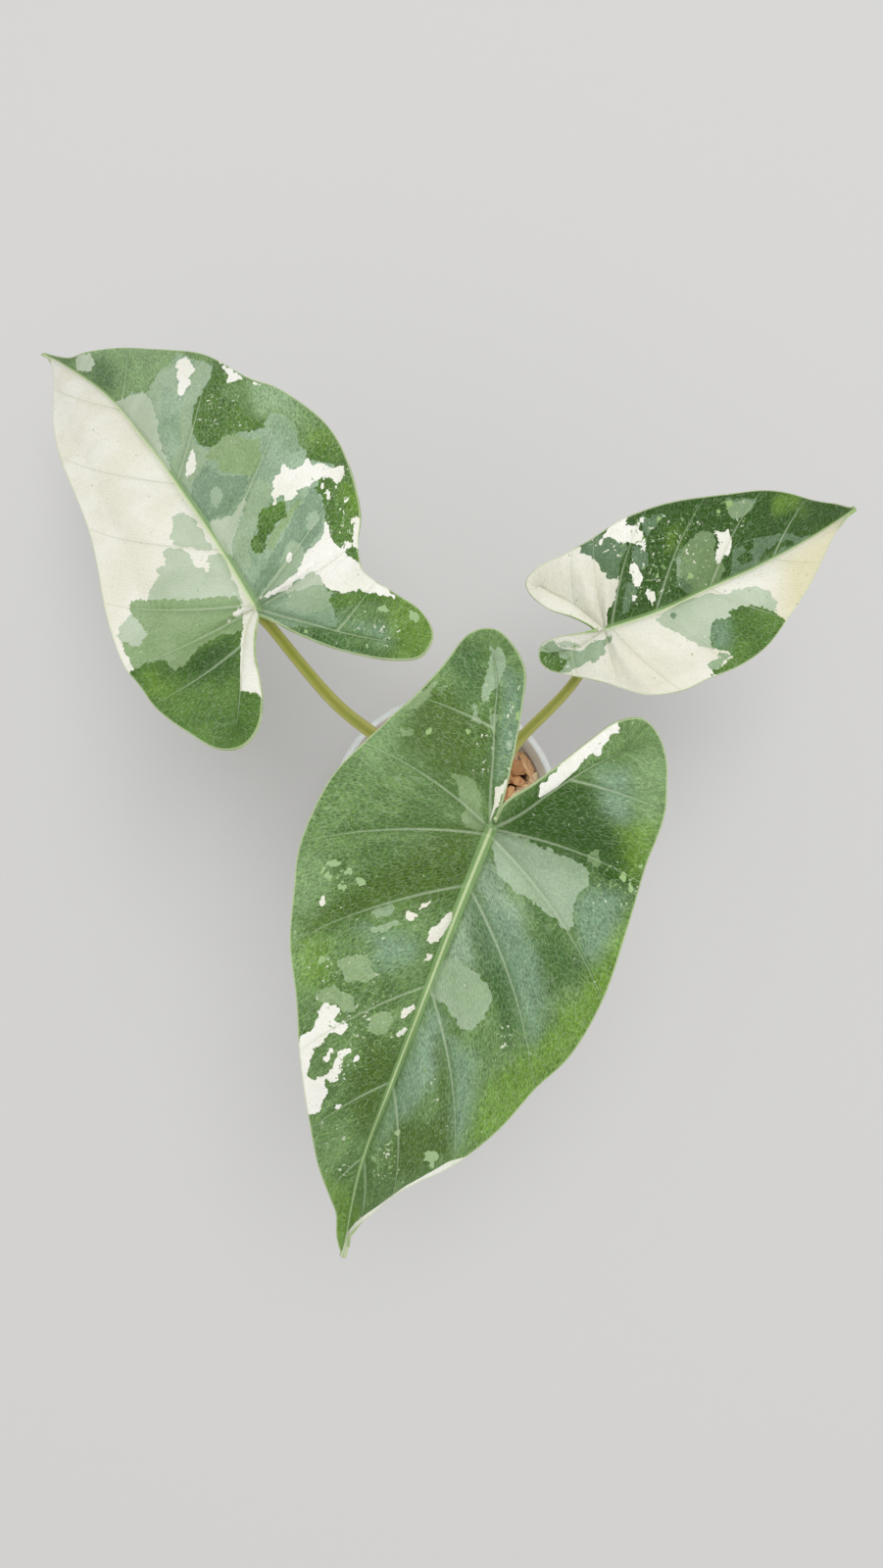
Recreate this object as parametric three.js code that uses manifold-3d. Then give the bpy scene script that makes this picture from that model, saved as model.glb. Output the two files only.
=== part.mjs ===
// A young giant taro with three marbled leaves in a clear round pot of bark chips.
// Millimetres, +Z up. The origin is the centre of the pot's flat base, on the surface it stands on.

import * as THREE from 'three';
import { mergeVertices } from 'three/addons/utils/BufferGeometryUtils.js';
import Module from 'manifold-3d';

const wasm = await Module();
wasm.setup();

// Pot
const RIM_DIAMETER = 90;
const BASE_DIAMETER = 64;
const POT_HEIGHT = 80;
const POT_WALL = 1.2;
const RIM_LIP = 1.4;
const RIM_BAND = 3;
const DRAIN_HOLES = 6;
const DRAIN_DIAMETER = 7;
const DRAIN_CIRCLE = 42;
const ROUND_SIDES = 48;

// Potting mix
const MIX_TOP = 63;
const CHIP_COUNT = 46;
const CHIP_LENGTH = 12;
const SIDE_DENTS = 1.8;
const GOLDEN_TURN = Math.PI * (3 - Math.sqrt(5));

// Plant
const CROWN = new THREE.Vector3(9, 4, 70);
const CORM_RADIUS = 8.5;
const CORM_DEPTH = 26;
const STALK_CIRCLE = 4.6;
const STALK_FOOT = 60;
const ROOT_COUNT = 7;
const ROOT_RADIUS = 1.1;
const BLADE_THICKNESS = 0.8;
const RIB_DEPTH = 1.7;
const RIB_HALF_WIDTH = 2.4;
const RIB_FADE = 0.85;

// Clearance between neighbouring pieces
const GAP = 0.35;

// Each leaf lies in a plan frame of its own: "along" runs from the stalk's joint to the tip and
// "across" is positive to the left of that direction. A rib row is a list of [along, across] points.
// A station is [place on its rib from 0 to 1, along, across, 1 where a side vein ends there].
const FRONT_LEAF = {
  name: 'front',
  joint: new THREE.Vector3(11.5, -2, 235),
  heading: -108,
  pitch: 0.12,
  droop: 0.0016,
  lobeDroop: 0.0016,
  archRise: 4,
  archHalfWidth: 24,
  midrib: [[0, 0], [24, -1.5], [50, -2.5], [77, -3.5], [106, -4], [140, 0]],
  left: {
    lobeRib: [[0, 0], [-6, 6], [-13.5, 11.5], [-20.5, 17], [-26.5, 22.5], [-30.5, 27]],
    inner: [[0, -2.5, 0.5], [0.13, -8, 1.5], [0.3, -15, 7], [0.55, -23, 12.5], [0.8, -30.5, 17.5]],
    round: [[-36.5, 22], [-39.5, 28], [-37, 33.5], [-31.5, 37.5]],
    outer: [[0.8, -25, 39.5], [0.55, -18.5, 41, 1], [0.3, -11.5, 41.5], [0.13, -5, 41.5], [0, 1, 41.5, 1]],
    side: [[0, 15, 42], [0.02, 34, 42.5, 1], [0.08, 51.5, 40], [0.14, 64.5, 34, 1], [0.25, 79, 28.5],
      [0.365, 93.5, 20.5, 1], [0.48, 102.5, 13.5], [0.59, 110.5, 7.5, 1], [0.68, 116.5, 4],
      [0.77, 122, 1, 1], [0.87, 129, -1], [0.94, 134, -1]],
  },
  right: {
    lobeRib: [[0, 0], [-9, -3], [-19, -5.5], [-27.5, -8], [-36, -10], [-42.5, -13]],
    inner: [[0, -2.5, 0.5], [0.13, -8, 0.5], [0.3, -15.5, 0], [0.55, -25, -1], [0.8, -34.5, -2.5]],
    round: [[-42, -4.5], [-47.5, -9.5], [-50, -15.5], [-46.5, -21.5]],
    outer: [[0.8, -37, -25], [0.55, -27, -29.5, 1], [0.3, -20.5, -33.5], [0.13, -16, -36], [0, -11.5, -38.5, 1]],
    side: [[0, 0.5, -44], [0.02, 18.5, -46.5, 1], [0.08, 32.5, -44.5], [0.14, 46, -41.5, 1], [0.25, 60, -35.5],
      [0.365, 74.5, -30.5, 1], [0.48, 86, -26], [0.59, 97, -21, 1], [0.68, 107, -16],
      [0.77, 115.5, -10.5, 1], [0.87, 122.5, -6.5], [0.94, 131.5, -4]],
  },
};

const FAR_LEFT_LEAF = {
  name: 'far_left',
  joint: new THREE.Vector3(-57, 62.5, 193),
  heading: 131,
  pitch: 0.45,
  droop: 0.002,
  lobeDroop: 0.002,
  archRise: 4,
  archHalfWidth: 22,
  midrib: [[0, 0], [23, -3.5], [48, -6], [77.5, -8], [113, -8], [164, 0]],
  left: {
    lobeRib: [[0, 0], [-3, 5.5], [-7.5, 10.5], [-13.5, 16], [-18.5, 20.5], [-24, 26]],
    inner: [[0, -2.5, 0.5], [0.15, -6, 4.5], [0.35, -11.5, 9], [0.6, -18.5, 12.5], [0.8, -23.5, 15.5]],
    round: [[-28.5, 20.5], [-30.5, 26.5], [-29, 31.5], [-24.5, 35.5]],
    outer: [[0.8, -17, 38], [0.6, -10, 40], [0.35, -2.5, 41.5, 1], [0.15, 5.5, 41.5], [0, 13, 41.5, 1]],
    side: [[0, 23, 39], [0.02, 35.5, 35, 1], [0.1, 48.5, 30], [0.2, 63, 25, 1], [0.32, 78.5, 21.5],
      [0.44, 97.5, 18, 1], [0.58, 116, 13], [0.72, 133, 5, 1], [0.84, 145, 0], [0.93, 153.5, -1.5]],
  },
  right: {
    lobeRib: [[0, 0], [-8.5, -5], [-16.5, -10], [-24.5, -15], [-31.5, -20], [-37, -24.5]],
    inner: [[0, -2.5, 0.5], [0.13, -6.5, -1.5], [0.3, -15, -4.5], [0.55, -25.5, -9.5], [0.8, -34, -15]],
    round: [[-41, -21], [-45, -27], [-42.5, -33.5], [-35, -35.5]],
    outer: [[0.8, -26.5, -33.5], [0.55, -19.5, -31.5, 1], [0.3, -14, -31], [0.13, -10, -33], [0, -6, -36, 1]],
    side: [[0, 1, -42.5], [0.02, 16, -50, 1], [0.1, 32.5, -54], [0.2, 53.5, -52, 1], [0.32, 67, -47],
      [0.44, 87.5, -43, 1], [0.58, 103, -36], [0.72, 120.5, -25.5, 1], [0.84, 134.5, -14], [0.93, 142.5, -5]],
  },
};

const FAR_RIGHT_LEAF = {
  name: 'far_right',
  joint: new THREE.Vector3(50, 58.5, 175),
  heading: 27,
  pitch: 0.1,
  droop: 0.0022,
  lobeDroop: 0.012,
  archRise: 3,
  archHalfWidth: 15,
  midrib: [[0, 0], [18, -2.5], [37, -3], [57.5, -3.5], [79.5, -2.5], [102.5, 0]],
  left: {
    lobeRib: [[0, 0], [-2.5, 5.5], [-5, 11], [-8, 15.5], [-10.5, 19], [-12, 21.5]],
    inner: [[0, -2.5, 0.5], [0.2, -4, 3.5], [0.4, -7.5, 8], [0.65, -12.5, 13], [0.85, -15, 17.5]],
    round: [[-16, 21], [-15.5, 24.5], [-12, 26.5]],
    outer: [[0.85, -7.5, 27], [0.65, -3, 26.5], [0.4, 1.5, 26.5, 1], [0.2, 5.5, 27], [0, 10, 27.5, 1]],
    side: [[0, 19, 28.5], [0.035, 29, 28, 1], [0.11, 39.5, 26.5], [0.19, 50, 24, 1], [0.29, 60, 21],
      [0.4, 69, 18, 1], [0.52, 77, 14], [0.64, 84, 9.5, 1], [0.75, 89, 6], [0.85, 93.5, 3.5], [0.93, 98, 1.5]],
  },
  right: {
    lobeRib: [[0, 0], [-4, -0.5], [-8.5, -1], [-12.5, -1], [-15.5, 0], [-18, 0.5]],
    inner: [[0, -2.5, 0.5], [0.15, -5.5, 1.5], [0.35, -10, 3], [0.6, -14, 4.5], [0.85, -17.5, 5]],
    round: [[-20.5, 4.5], [-22.5, 1], [-21.5, -3]],
    outer: [[0.85, -18, -6.5], [0.6, -14.5, -9.5, 1], [0.35, -11.5, -12], [0.15, -8, -15], [0, -4, -19, 1]],
    side: [[0, 2.5, -24.5], [0.035, 12.5, -28, 1], [0.11, 22.5, -28.5], [0.19, 34, -29.5, 1], [0.29, 45, -28],
      [0.4, 56, -23, 1], [0.52, 67, -17.5], [0.64, 77, -11.5, 1], [0.75, 84.5, -6.5], [0.85, 91.5, -3],
      [0.93, 97, -1]],
  },
};

// Rows between two stations, and places of the columns from rib to margin
const ROWS_PER_STATION = 2;
const COLUMNS = 6;

// Relief of a blade: quilting between side veins, an arch from rib to margin and a gentle wave of the margin
const QUILT_HEIGHT = 1.5;
const QUILT_FULL_WIDTH = 30;
const MARGIN_WAVE = 1.2;
const WAVES_PER_STATION = 0.23;
const ARCH_END = 1.6;
const QUILT_END = 1.1;
const QUILT_SHIFT = 0.8;

const COLOURS = {
  pot: { color: 0xdfe3e4, roughness: 0.12 },
  potting_mix: { color: 0x9a5f37, roughness: 0.92 },
  corm_and_roots: { color: 0xa98f62, roughness: 0.8 },
  petiole: { color: 0x8f9a35, roughness: 0.45 },
  blade_front: { color: 0x5d8746, roughness: 0.4 },
  blade_far_left: { color: 0xb4bf97, roughness: 0.4 },
  blade_far_right: { color: 0xb9c59a, roughness: 0.4 },
};

// A repeatable series of numbers from 0 to 1
function randomSeries(seed) {
  let state = seed;
  return () => {
    state = (state * 1664525 + 1013904223) % 4294967296;
    return state / 4294967296;
  };
}

function toSolid(geometry) {
  const bare = geometry.clone();
  bare.deleteAttribute('normal');
  bare.deleteAttribute('uv');
  const merged = mergeVertices(bare, 1e-4);
  return new wasm.Manifold(new wasm.Mesh({
    numProp: 3,
    vertProperties: new Float32Array(merged.attributes.position.array),
    triVerts: new Uint32Array(merged.index.array),
  }));
}

function toGeometry(solid) {
  const mesh = solid.getMesh();
  const geometry = new THREE.BufferGeometry();
  geometry.setAttribute('position', new THREE.BufferAttribute(new Float32Array(mesh.vertProperties), 3));
  geometry.setIndex(new THREE.BufferAttribute(new Uint32Array(mesh.triVerts), 1));
  return geometry;
}

function joined(solids) {
  return solids.reduce((whole, solid) => whole.add(solid));
}

// Keeps the largest connected skin of a mesh, so that hollows sealed between joined lumps are filled
// and loose scraps are dropped
function outerSkin(geometry) {
  const merged = mergeVertices(geometry, 1e-4);
  const order = Array.from(merged.index.array);
  const parent = Array.from({ length: merged.attributes.position.count }, (_, vertex) => vertex);
  const find = (vertex) => {
    let root = vertex;
    while (parent[root] !== root) root = parent[root];
    parent[vertex] = root;
    return root;
  };
  for (let i = 0; i < order.length; i += 3) {
    parent[find(order[i])] = find(order[i + 1]);
    parent[find(order[i + 1])] = find(order[i + 2]);
  }
  const faces = new Map();
  for (let i = 0; i < order.length; i += 3) {
    const skin = find(order[i]);
    if (!faces.has(skin)) faces.set(skin, []);
    faces.get(skin).push(...order.slice(i, i + 3));
  }
  const largest = [...faces.values()].sort((a, b) => b.length - a.length)[0];
  merged.setIndex(largest);
  return merged;
}

// A solid of revolution about Z from [radius, height] pairs listed upwards on the outside
function turned(profile) {
  const points = profile.map(([radius, height]) => new THREE.Vector2(radius, height));
  const geometry = new THREE.LatheGeometry(points, ROUND_SIDES);
  geometry.rotateX(Math.PI / 2);
  return geometry;
}

// A round stem through points, with a radius at each point and an optional channel along its upper side.
// "grow" makes it thicker and longer all round, for cutting the hole that it stands in.
function stem(points, radii, options = {}) {
  const { sides = 8, steps = 10, upper = null, channel = 0, grow = 0 } = options;
  const ends = [points[0], points[points.length - 1]];
  const next = [points[1], points[points.length - 2]];
  const [first, last] = ends.map((end, i) => end.clone().add(end.clone().sub(next[i]).setLength(grow)));
  const curve = new THREE.CatmullRomCurve3([first, ...points.slice(1, -1), last]);
  const geometry = new THREE.CylinderGeometry(1, 1, 1, sides, steps);
  const position = geometry.attributes.position;
  const frames = curve.computeFrenetFrames(steps, false);
  for (let i = 0; i < position.count; i += 1) {
    const place = position.getY(i) + 0.5;
    const ring = Math.round(place * steps);
    const tangent = frames.tangents[ring];
    const side = upper ?? frames.normals[ring];
    const up = side.clone().addScaledVector(tangent, -side.dot(tangent)).normalize();
    const out = new THREE.Vector3().crossVectors(tangent, up);
    const slot = place * (radii.length - 1);
    const low = Math.min(Math.floor(slot), radii.length - 2);
    const radius = THREE.MathUtils.lerp(radii[low], radii[low + 1], slot - low) + grow;
    const x = position.getX(i);
    const z = position.getZ(i);
    const angle = Math.atan2(x, z);
    const dent = channel * Math.exp(-((angle / 0.42) ** 2));
    const centre = curve.getPointAt(place);
    centre.addScaledVector(out, x * radius * (1 - dent));
    centre.addScaledVector(up, z * radius * (1 - dent));
    position.setXYZ(i, centre.x, centre.y, centre.z);
  }
  return toSolid(geometry);
}

// A smooth line through plan points, read at a place from 0 to 1
function planLine(points) {
  const curve = new THREE.SplineCurve(points.map(([along, across]) => new THREE.Vector2(along, across)));
  return (place) => curve.getPoint(place);
}

// The rows of one half of a blade, from the notch at the stalk round the lobe to the tip
function halfRows(leaf, half) {
  const lobeRib = planLine(half.lobeRib);
  const midrib = planLine(leaf.midrib);
  const tip = leaf.midrib[leaf.midrib.length - 1];
  const stations = [];
  const addStations = (rib, list) => {
    list.forEach(([at, along, across, vein]) => stations.push({ rib, at, edge: [along, across], vein }));
  };
  addStations(lobeRib, half.inner);
  addStations(lobeRib, half.round.map((edge) => [1, ...edge]));
  addStations(lobeRib, half.outer);
  addStations(midrib, half.side);
  stations.push({ rib: midrib, at: 1, edge: tip });
  const margin = planLine(stations.map((station) => station.edge));
  const veins = stations.map((station, index) => (station.vein ? index : -1)).filter((index) => index >= 0);
  const last = stations.length - 1;
  const rows = [];
  for (let i = 0; i <= last * ROWS_PER_STATION; i += 1) {
    const place = i / ROWS_PER_STATION;
    const low = Math.min(Math.floor(place), last - 1);
    const from = stations[low];
    const to = stations[low + 1];
    const rib = place === low ? from.rib : to.rib;
    const startAt = from.rib === rib ? from.at : 0;
    const at = THREE.MathUtils.lerp(startAt, to.at, place - low);
    const before = veins.filter((vein) => vein <= place).pop();
    const after = veins.find((vein) => vein > place);
    const between = before === undefined || after === undefined ? 0 : (place - before) / (after - before);
    rows.push({ root: rib(at), edge: margin(place / last), at, place, between });
  }
  return rows;
}

// The height of a blade's upper face over its joint
function bladeHeight(leaf, row, point, fraction) {
  const along = point.x;
  const sag = along > 0 ? leaf.droop : leaf.lobeDroop;
  const ground = -leaf.pitch * along - sag * along * along;
  const width = row.root.distanceTo(row.edge);
  const arch = Math.min((fraction * width) / leaf.archHalfWidth, ARCH_END);
  const fold = leaf.archRise * (2 * arch - arch * arch);
  const fullness = Math.min(width / QUILT_FULL_WIDTH, 1);
  const swell = Math.sin(Math.PI * Math.min(fraction * QUILT_END, 1) ** QUILT_SHIFT);
  const quilt = QUILT_HEIGHT * fullness * Math.sin(Math.PI * row.between) ** 2 * swell;
  const wave = MARGIN_WAVE * fullness * fraction ** 3 * Math.sin(2 * Math.PI * WAVES_PER_STATION * row.place);
  return ground + fold + quilt + wave;
}

// The closed shell of a blade. "above" and "below" thicken it, and "outward" widens it, for cutting its neighbours.
function bladeShell(leaf, { above = 0, below = 0, outward = 0 } = {}) {
  const corners = [];
  const ribs = [];
  const addHalf = (rows, mirrored) => {
    const grid = rows.map((row) => {
      const width = Math.max(row.root.distanceTo(row.edge), 1e-6);
      const reach = 1 + outward / width;
      const first = Math.min(RIB_HALF_WIDTH / width, 0.5 / (COLUMNS - 1));
      return Array.from({ length: COLUMNS + 1 }, (_, column) => {
        const even = first + ((column - 1) / (COLUMNS - 1)) * (1 - first);
        const fraction = column === 0 ? 0 : even;
        const plan = new THREE.Vector2().lerpVectors(row.root, row.edge, fraction * reach);
        const height = bladeHeight(leaf, row, plan, fraction);
        const rib = RIB_DEPTH * (1 - RIB_FADE * row.at) * Math.max(1 - (fraction * width) / RIB_HALF_WIDTH, 0);
        return { point: new THREE.Vector3(plan.x, plan.y, height), rib };
      });
    });
    const addTriangle = (a, b, c) => {
      const ordered = mirrored ? [a, c, b] : [a, b, c];
      ordered.forEach((corner) => {
        corners.push(corner.point.x, corner.point.y, corner.point.z);
        ribs.push(corner.rib);
      });
    };
    for (let i = 0; i < grid.length - 1; i += 1) {
      for (let j = 0; j < COLUMNS; j += 1) {
        addTriangle(grid[i][j], grid[i][j + 1], grid[i + 1][j]);
        addTriangle(grid[i][j + 1], grid[i + 1][j + 1], grid[i + 1][j]);
      }
    }
  };
  addHalf(halfRows(leaf, leaf.left), true);
  addHalf(halfRows(leaf, leaf.right), false);
  return thickened(corners, ribs, above, below);
}

// Gives an open sheet a second face under it and a wall round its margin
function thickened(corners, ribs, above, below) {
  const sheet = new THREE.BufferGeometry();
  sheet.setAttribute('position', new THREE.Float32BufferAttribute(corners, 3));
  sheet.setAttribute('rib', new THREE.Float32BufferAttribute(ribs, 1));
  const merged = mergeVertices(sheet, 1e-3);
  const order = Array.from(merged.index.array);
  const triangles = [];
  for (let i = 0; i < order.length; i += 3) {
    const [a, b, c] = order.slice(i, i + 3);
    if (a !== b && b !== c && c !== a) triangles.push([a, b, c]);
  }
  merged.setIndex(triangles.flat());
  merged.computeVertexNormals();
  const { position, normal, rib } = merged.attributes;
  const count = position.count;
  const points = [];
  for (const side of [0, 1]) {
    for (let i = 0; i < count; i += 1) {
      const point = new THREE.Vector3().fromBufferAttribute(position, i);
      const up = new THREE.Vector3().fromBufferAttribute(normal, i);
      const depth = side === 0 ? -above : BLADE_THICKNESS + rib.getX(i) + below;
      point.addScaledVector(up, -depth);
      points.push(point.x, point.y, point.z);
    }
  }
  const edges = new Set();
  triangles.forEach(([a, b, c]) => {
    [[a, b], [b, c], [c, a]].forEach(([from, to]) => edges.add(`${from} ${to}`));
  });
  const faces = [];
  triangles.forEach(([a, b, c]) => {
    faces.push(a, b, c);
    faces.push(a + count, c + count, b + count);
  });
  triangles.forEach(([a, b, c]) => {
    [[a, b], [b, c], [c, a]].forEach(([from, to]) => {
      if (edges.has(`${to} ${from}`)) return;
      faces.push(to, from, from + count);
      faces.push(to, from + count, to + count);
    });
  });
  const shell = new THREE.BufferGeometry();
  shell.setAttribute('position', new THREE.Float32BufferAttribute(points, 3));
  shell.setIndex(faces);
  return shell;
}

function placeLeaf(geometry, leaf) {
  geometry.rotateZ(THREE.MathUtils.degToRad(leaf.heading));
  geometry.translate(leaf.joint.x, leaf.joint.y, leaf.joint.z);
  return geometry;
}

function makeBlade(leaf) {
  return placeLeaf(bladeShell(leaf), leaf);
}

// The pot's outer radius at a height, under its rim
const WALL_LEAN = (RIM_DIAMETER / 2 - RIM_LIP - BASE_DIAMETER / 2) / POT_HEIGHT;
const wallRadius = (height) => BASE_DIAMETER / 2 + WALL_LEAN * height;

function makePot() {
  const base = BASE_DIAMETER / 2;
  const rim = RIM_DIAMETER / 2;
  const shell = turned([
    [0, 0],
    [base - 1.5, 0],
    [base, 1.5],
    [wallRadius(POT_HEIGHT - RIM_BAND), POT_HEIGHT - RIM_BAND],
    [rim, POT_HEIGHT - RIM_BAND + 0.4],
    [rim, POT_HEIGHT - 0.5],
    [rim - 0.5, POT_HEIGHT],
    [wallRadius(POT_HEIGHT) - POT_WALL, POT_HEIGHT],
    [wallRadius(POT_WALL) - POT_WALL, POT_WALL],
    [0, POT_WALL],
  ]);
  let pot = toSolid(shell);
  for (let i = 0; i < DRAIN_HOLES; i += 1) {
    const angle = (i / DRAIN_HOLES) * 2 * Math.PI;
    const hole = new THREE.CylinderGeometry(DRAIN_DIAMETER / 2, DRAIN_DIAMETER / 2, 4 * POT_WALL, 16);
    hole.rotateX(Math.PI / 2);
    hole.translate((DRAIN_CIRCLE / 2) * Math.cos(angle), (DRAIN_CIRCLE / 2) * Math.sin(angle), POT_WALL / 2);
    pot = pot.subtract(toSolid(hole));
  }
  return toGeometry(pot);
}

// The mix's outer radius at a height, just inside the pot's wall
const insideRadius = (height) => wallRadius(height) - POT_WALL - GAP;

// One chip of bark: a flat block with uneven corners
function barkChip(random, size) {
  const chip = new THREE.BoxGeometry(size, size * (0.5 + 0.3 * random()), size * (0.3 + 0.2 * random()));
  const position = chip.attributes.position;
  const shifts = new Map();
  for (let i = 0; i < position.count; i += 1) {
    const key = [position.getX(i), position.getY(i), position.getZ(i)].map(Math.sign).join(' ');
    if (!shifts.has(key)) shifts.set(key, [random(), random(), random()].map((n) => (n - 0.5) * size * 0.22));
    const [dx, dy, dz] = shifts.get(key);
    position.setXYZ(i, position.getX(i) + dx, position.getY(i) + dy, position.getZ(i) + dz);
  }
  chip.rotateX((random() - 0.5) * 1.1);
  chip.rotateY((random() - 0.5) * 1.1);
  chip.rotateZ(random() * Math.PI * 2);
  return chip;
}

function makeMix(plantCut) {
  const random = randomSeries(7);
  const floor = POT_WALL + GAP;
  const rings = 8;
  const body = new THREE.CylinderGeometry(1, 1, 1, ROUND_SIDES, rings);
  body.rotateX(Math.PI / 2);
  const position = body.attributes.position;
  for (let i = 0; i < position.count; i += 1) {
    const height = floor + (position.getZ(i) + 0.5) * (MIX_TOP - floor);
    const angle = Math.atan2(position.getY(i), position.getX(i));
    const ripple = Math.sin(5 * angle + height * 0.31) * Math.sin(3 * angle - height * 0.23 + 1);
    const reach = insideRadius(height) - SIDE_DENTS * (0.5 + 0.5 * ripple);
    position.setXYZ(i, position.getX(i) * reach, position.getY(i) * reach, height);
  }
  const chips = [];
  for (let i = 0; i < CHIP_COUNT; i += 1) {
    const turn = i * GOLDEN_TURN;
    const radius = CHIP_LENGTH / 4 + Math.sqrt((i + 0.5) / CHIP_COUNT) * (insideRadius(MIX_TOP) - CHIP_LENGTH / 2);
    const chip = barkChip(random, CHIP_LENGTH * (0.75 + 0.5 * random()));
    chip.translate(radius * Math.cos(turn), radius * Math.sin(turn), MIX_TOP + CHIP_LENGTH * 0.05 * (random() - 0.3));
    chips.push(toSolid(chip));
  }
  const top = POT_HEIGHT;
  const room = toSolid(turned([[0, floor], [insideRadius(floor), floor], [insideRadius(top), top], [0, top]]));
  return joined([toSolid(body), ...chips]).intersect(room).subtract(plantCut);
}

// The short swollen stem that carries the stalks, and its roots
function rootstock(grow) {
  const corm = new THREE.SphereGeometry(1, 14, 8);
  corm.rotateX(Math.PI / 2);
  corm.scale(CORM_RADIUS + grow, CORM_RADIUS + grow, CORM_DEPTH / 2 + grow);
  corm.translate(CROWN.x, CROWN.y, CROWN.z - CORM_DEPTH / 2);
  const random = randomSeries(23);
  const roots = [];
  for (let i = 0; i < ROOT_COUNT; i += 1) {
    const turn = (i / ROOT_COUNT) * 2 * Math.PI + (random() - 0.5) * 0.3;
    const bend = turn + (random() - 0.5) * 0.9;
    const start = CROWN.z - CORM_DEPTH * (0.45 + 0.3 * random());
    const reach = 16 + 8 * random();
    const end = 12 + 16 * random();
    const points = [
      new THREE.Vector3(CROWN.x + 3 * Math.cos(turn), CROWN.y + 3 * Math.sin(turn), start + 1),
      new THREE.Vector3(CROWN.x + 9 * Math.cos(turn), CROWN.y + 9 * Math.sin(turn), start - 2),
      new THREE.Vector3(0.6 * CROWN.x + reach * Math.cos(bend), 0.6 * CROWN.y + reach * Math.sin(bend), start - 16),
      new THREE.Vector3(0.3 * CROWN.x + reach * Math.cos(bend), 0.3 * CROWN.y + reach * Math.sin(bend), end),
    ];
    roots.push(stem(points, [1.3 * ROOT_RADIUS, ROOT_RADIUS, 0.7 * ROOT_RADIUS], { sides: 6, steps: 5, grow }));
  }
  return joined([toSolid(corm), ...roots]);
}

// Where each stalk leaves the crown and the points that it passes on its way to its leaf's joint
const crownPoint = (degrees, height) => new THREE.Vector3(
  CROWN.x + STALK_CIRCLE * Math.cos(THREE.MathUtils.degToRad(degrees)),
  CROWN.y + STALK_CIRCLE * Math.sin(THREE.MathUtils.degToRad(degrees)),
  height,
);
const JOINT_DROP = new THREE.Vector3(0, 0, -1.6);
const STALKS = {
  front: {
    leaf: FRONT_LEAF,
    points: [crownPoint(270, STALK_FOOT), crownPoint(270, 80), new THREE.Vector3(13, 1, 130),
      new THREE.Vector3(14, 1.5, 185), FRONT_LEAF.joint.clone().add(JOINT_DROP)],
    radii: [3.6, 3.2, 2.5, 2.2, 2],
  },
  far_left: {
    leaf: FAR_LEFT_LEAF,
    points: [crownPoint(150, STALK_FOOT), crownPoint(150, 76), new THREE.Vector3(-6, 14, 108),
      new THREE.Vector3(-24.5, 27, 144), new THREE.Vector3(-36.5, 37, 165),
      FAR_LEFT_LEAF.joint.clone().add(JOINT_DROP)],
    radii: [3.6, 3.1, 2.4, 2, 1.7],
  },
  far_right: {
    leaf: FAR_RIGHT_LEAF,
    points: [crownPoint(30, STALK_FOOT), crownPoint(30, 76), new THREE.Vector3(19, 15, 100),
      new THREE.Vector3(26.5, 26, 127), new THREE.Vector3(42, 43.5, 161),
      FAR_RIGHT_LEAF.joint.clone().add(JOINT_DROP)],
    radii: [3.5, 2.9, 2.1, 1.8, 1.5],
  },
};

function stalk({ leaf, points, radii }, grow) {
  const heading = THREE.MathUtils.degToRad(leaf.heading);
  const upper = new THREE.Vector3(-Math.cos(heading), -Math.sin(heading), 1);
  return stem(points, radii, { sides: 12, steps: 14, upper, channel: 0.2, grow });
}

function makeStalk(plan) {
  const cut = placeLeaf(bladeShell(plan.leaf, { above: 8, below: GAP, outward: 2 * GAP }), plan.leaf);
  return toGeometry(stalk(plan, 0).subtract(toSolid(cut)));
}

function named(name, geometry, look) {
  const mesh = new THREE.Mesh(geometry, new THREE.MeshStandardMaterial({ metalness: 0, ...look }));
  mesh.name = name;
  return mesh;
}

const plans = Object.values(STALKS);
const stalkHoles = joined(plans.map((plan) => stalk(plan, GAP)));
const plant = new THREE.Group();
const mix = outerSkin(toGeometry(makeMix(rootstock(GAP).add(stalkHoles))));
plant.add(named('pot', makePot(), COLOURS.pot));
plant.add(named('potting_mix', mix, COLOURS.potting_mix));
plant.add(named('corm_and_roots', toGeometry(rootstock(0).subtract(stalkHoles)), COLOURS.corm_and_roots));
plans.forEach((plan) => {
  plant.add(named(`petiole_${plan.leaf.name}`, makeStalk(plan), COLOURS.petiole));
  plant.add(named(`blade_${plan.leaf.name}`, makeBlade(plan.leaf), COLOURS[`blade_${plan.leaf.name}`]));
});

export default plant;
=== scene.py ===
# %% [markdown]
# # A young giant taro in a clear nursery pot
#
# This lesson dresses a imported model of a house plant: three marbled leaves on olive stalks,
# standing in a clear plastic pot that is filled with bark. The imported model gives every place
# and size. Here each part is rebuilt finer, in the same place, and gets its real finish.
# Lengths are thought of in millimetres, and Blender works in metres, so one named factor
# turns the first into the second wherever a mesh is written.

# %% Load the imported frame
import math

import bmesh
import bpy
import numpy as np
from mathutils import Matrix, Vector, noise


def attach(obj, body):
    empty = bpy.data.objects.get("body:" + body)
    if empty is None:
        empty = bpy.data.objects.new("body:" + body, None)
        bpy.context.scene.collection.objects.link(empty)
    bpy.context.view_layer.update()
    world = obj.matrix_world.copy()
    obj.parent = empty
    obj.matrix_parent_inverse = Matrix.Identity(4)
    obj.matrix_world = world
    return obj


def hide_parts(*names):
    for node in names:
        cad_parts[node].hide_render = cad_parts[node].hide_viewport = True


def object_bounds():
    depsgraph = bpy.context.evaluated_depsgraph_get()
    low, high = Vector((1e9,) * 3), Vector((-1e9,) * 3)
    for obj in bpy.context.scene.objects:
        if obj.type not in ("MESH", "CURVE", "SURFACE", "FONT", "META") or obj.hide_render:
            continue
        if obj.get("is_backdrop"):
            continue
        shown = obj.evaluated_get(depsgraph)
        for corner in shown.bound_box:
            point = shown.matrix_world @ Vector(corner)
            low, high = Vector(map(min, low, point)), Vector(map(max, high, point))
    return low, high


MM = 0.001
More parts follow.
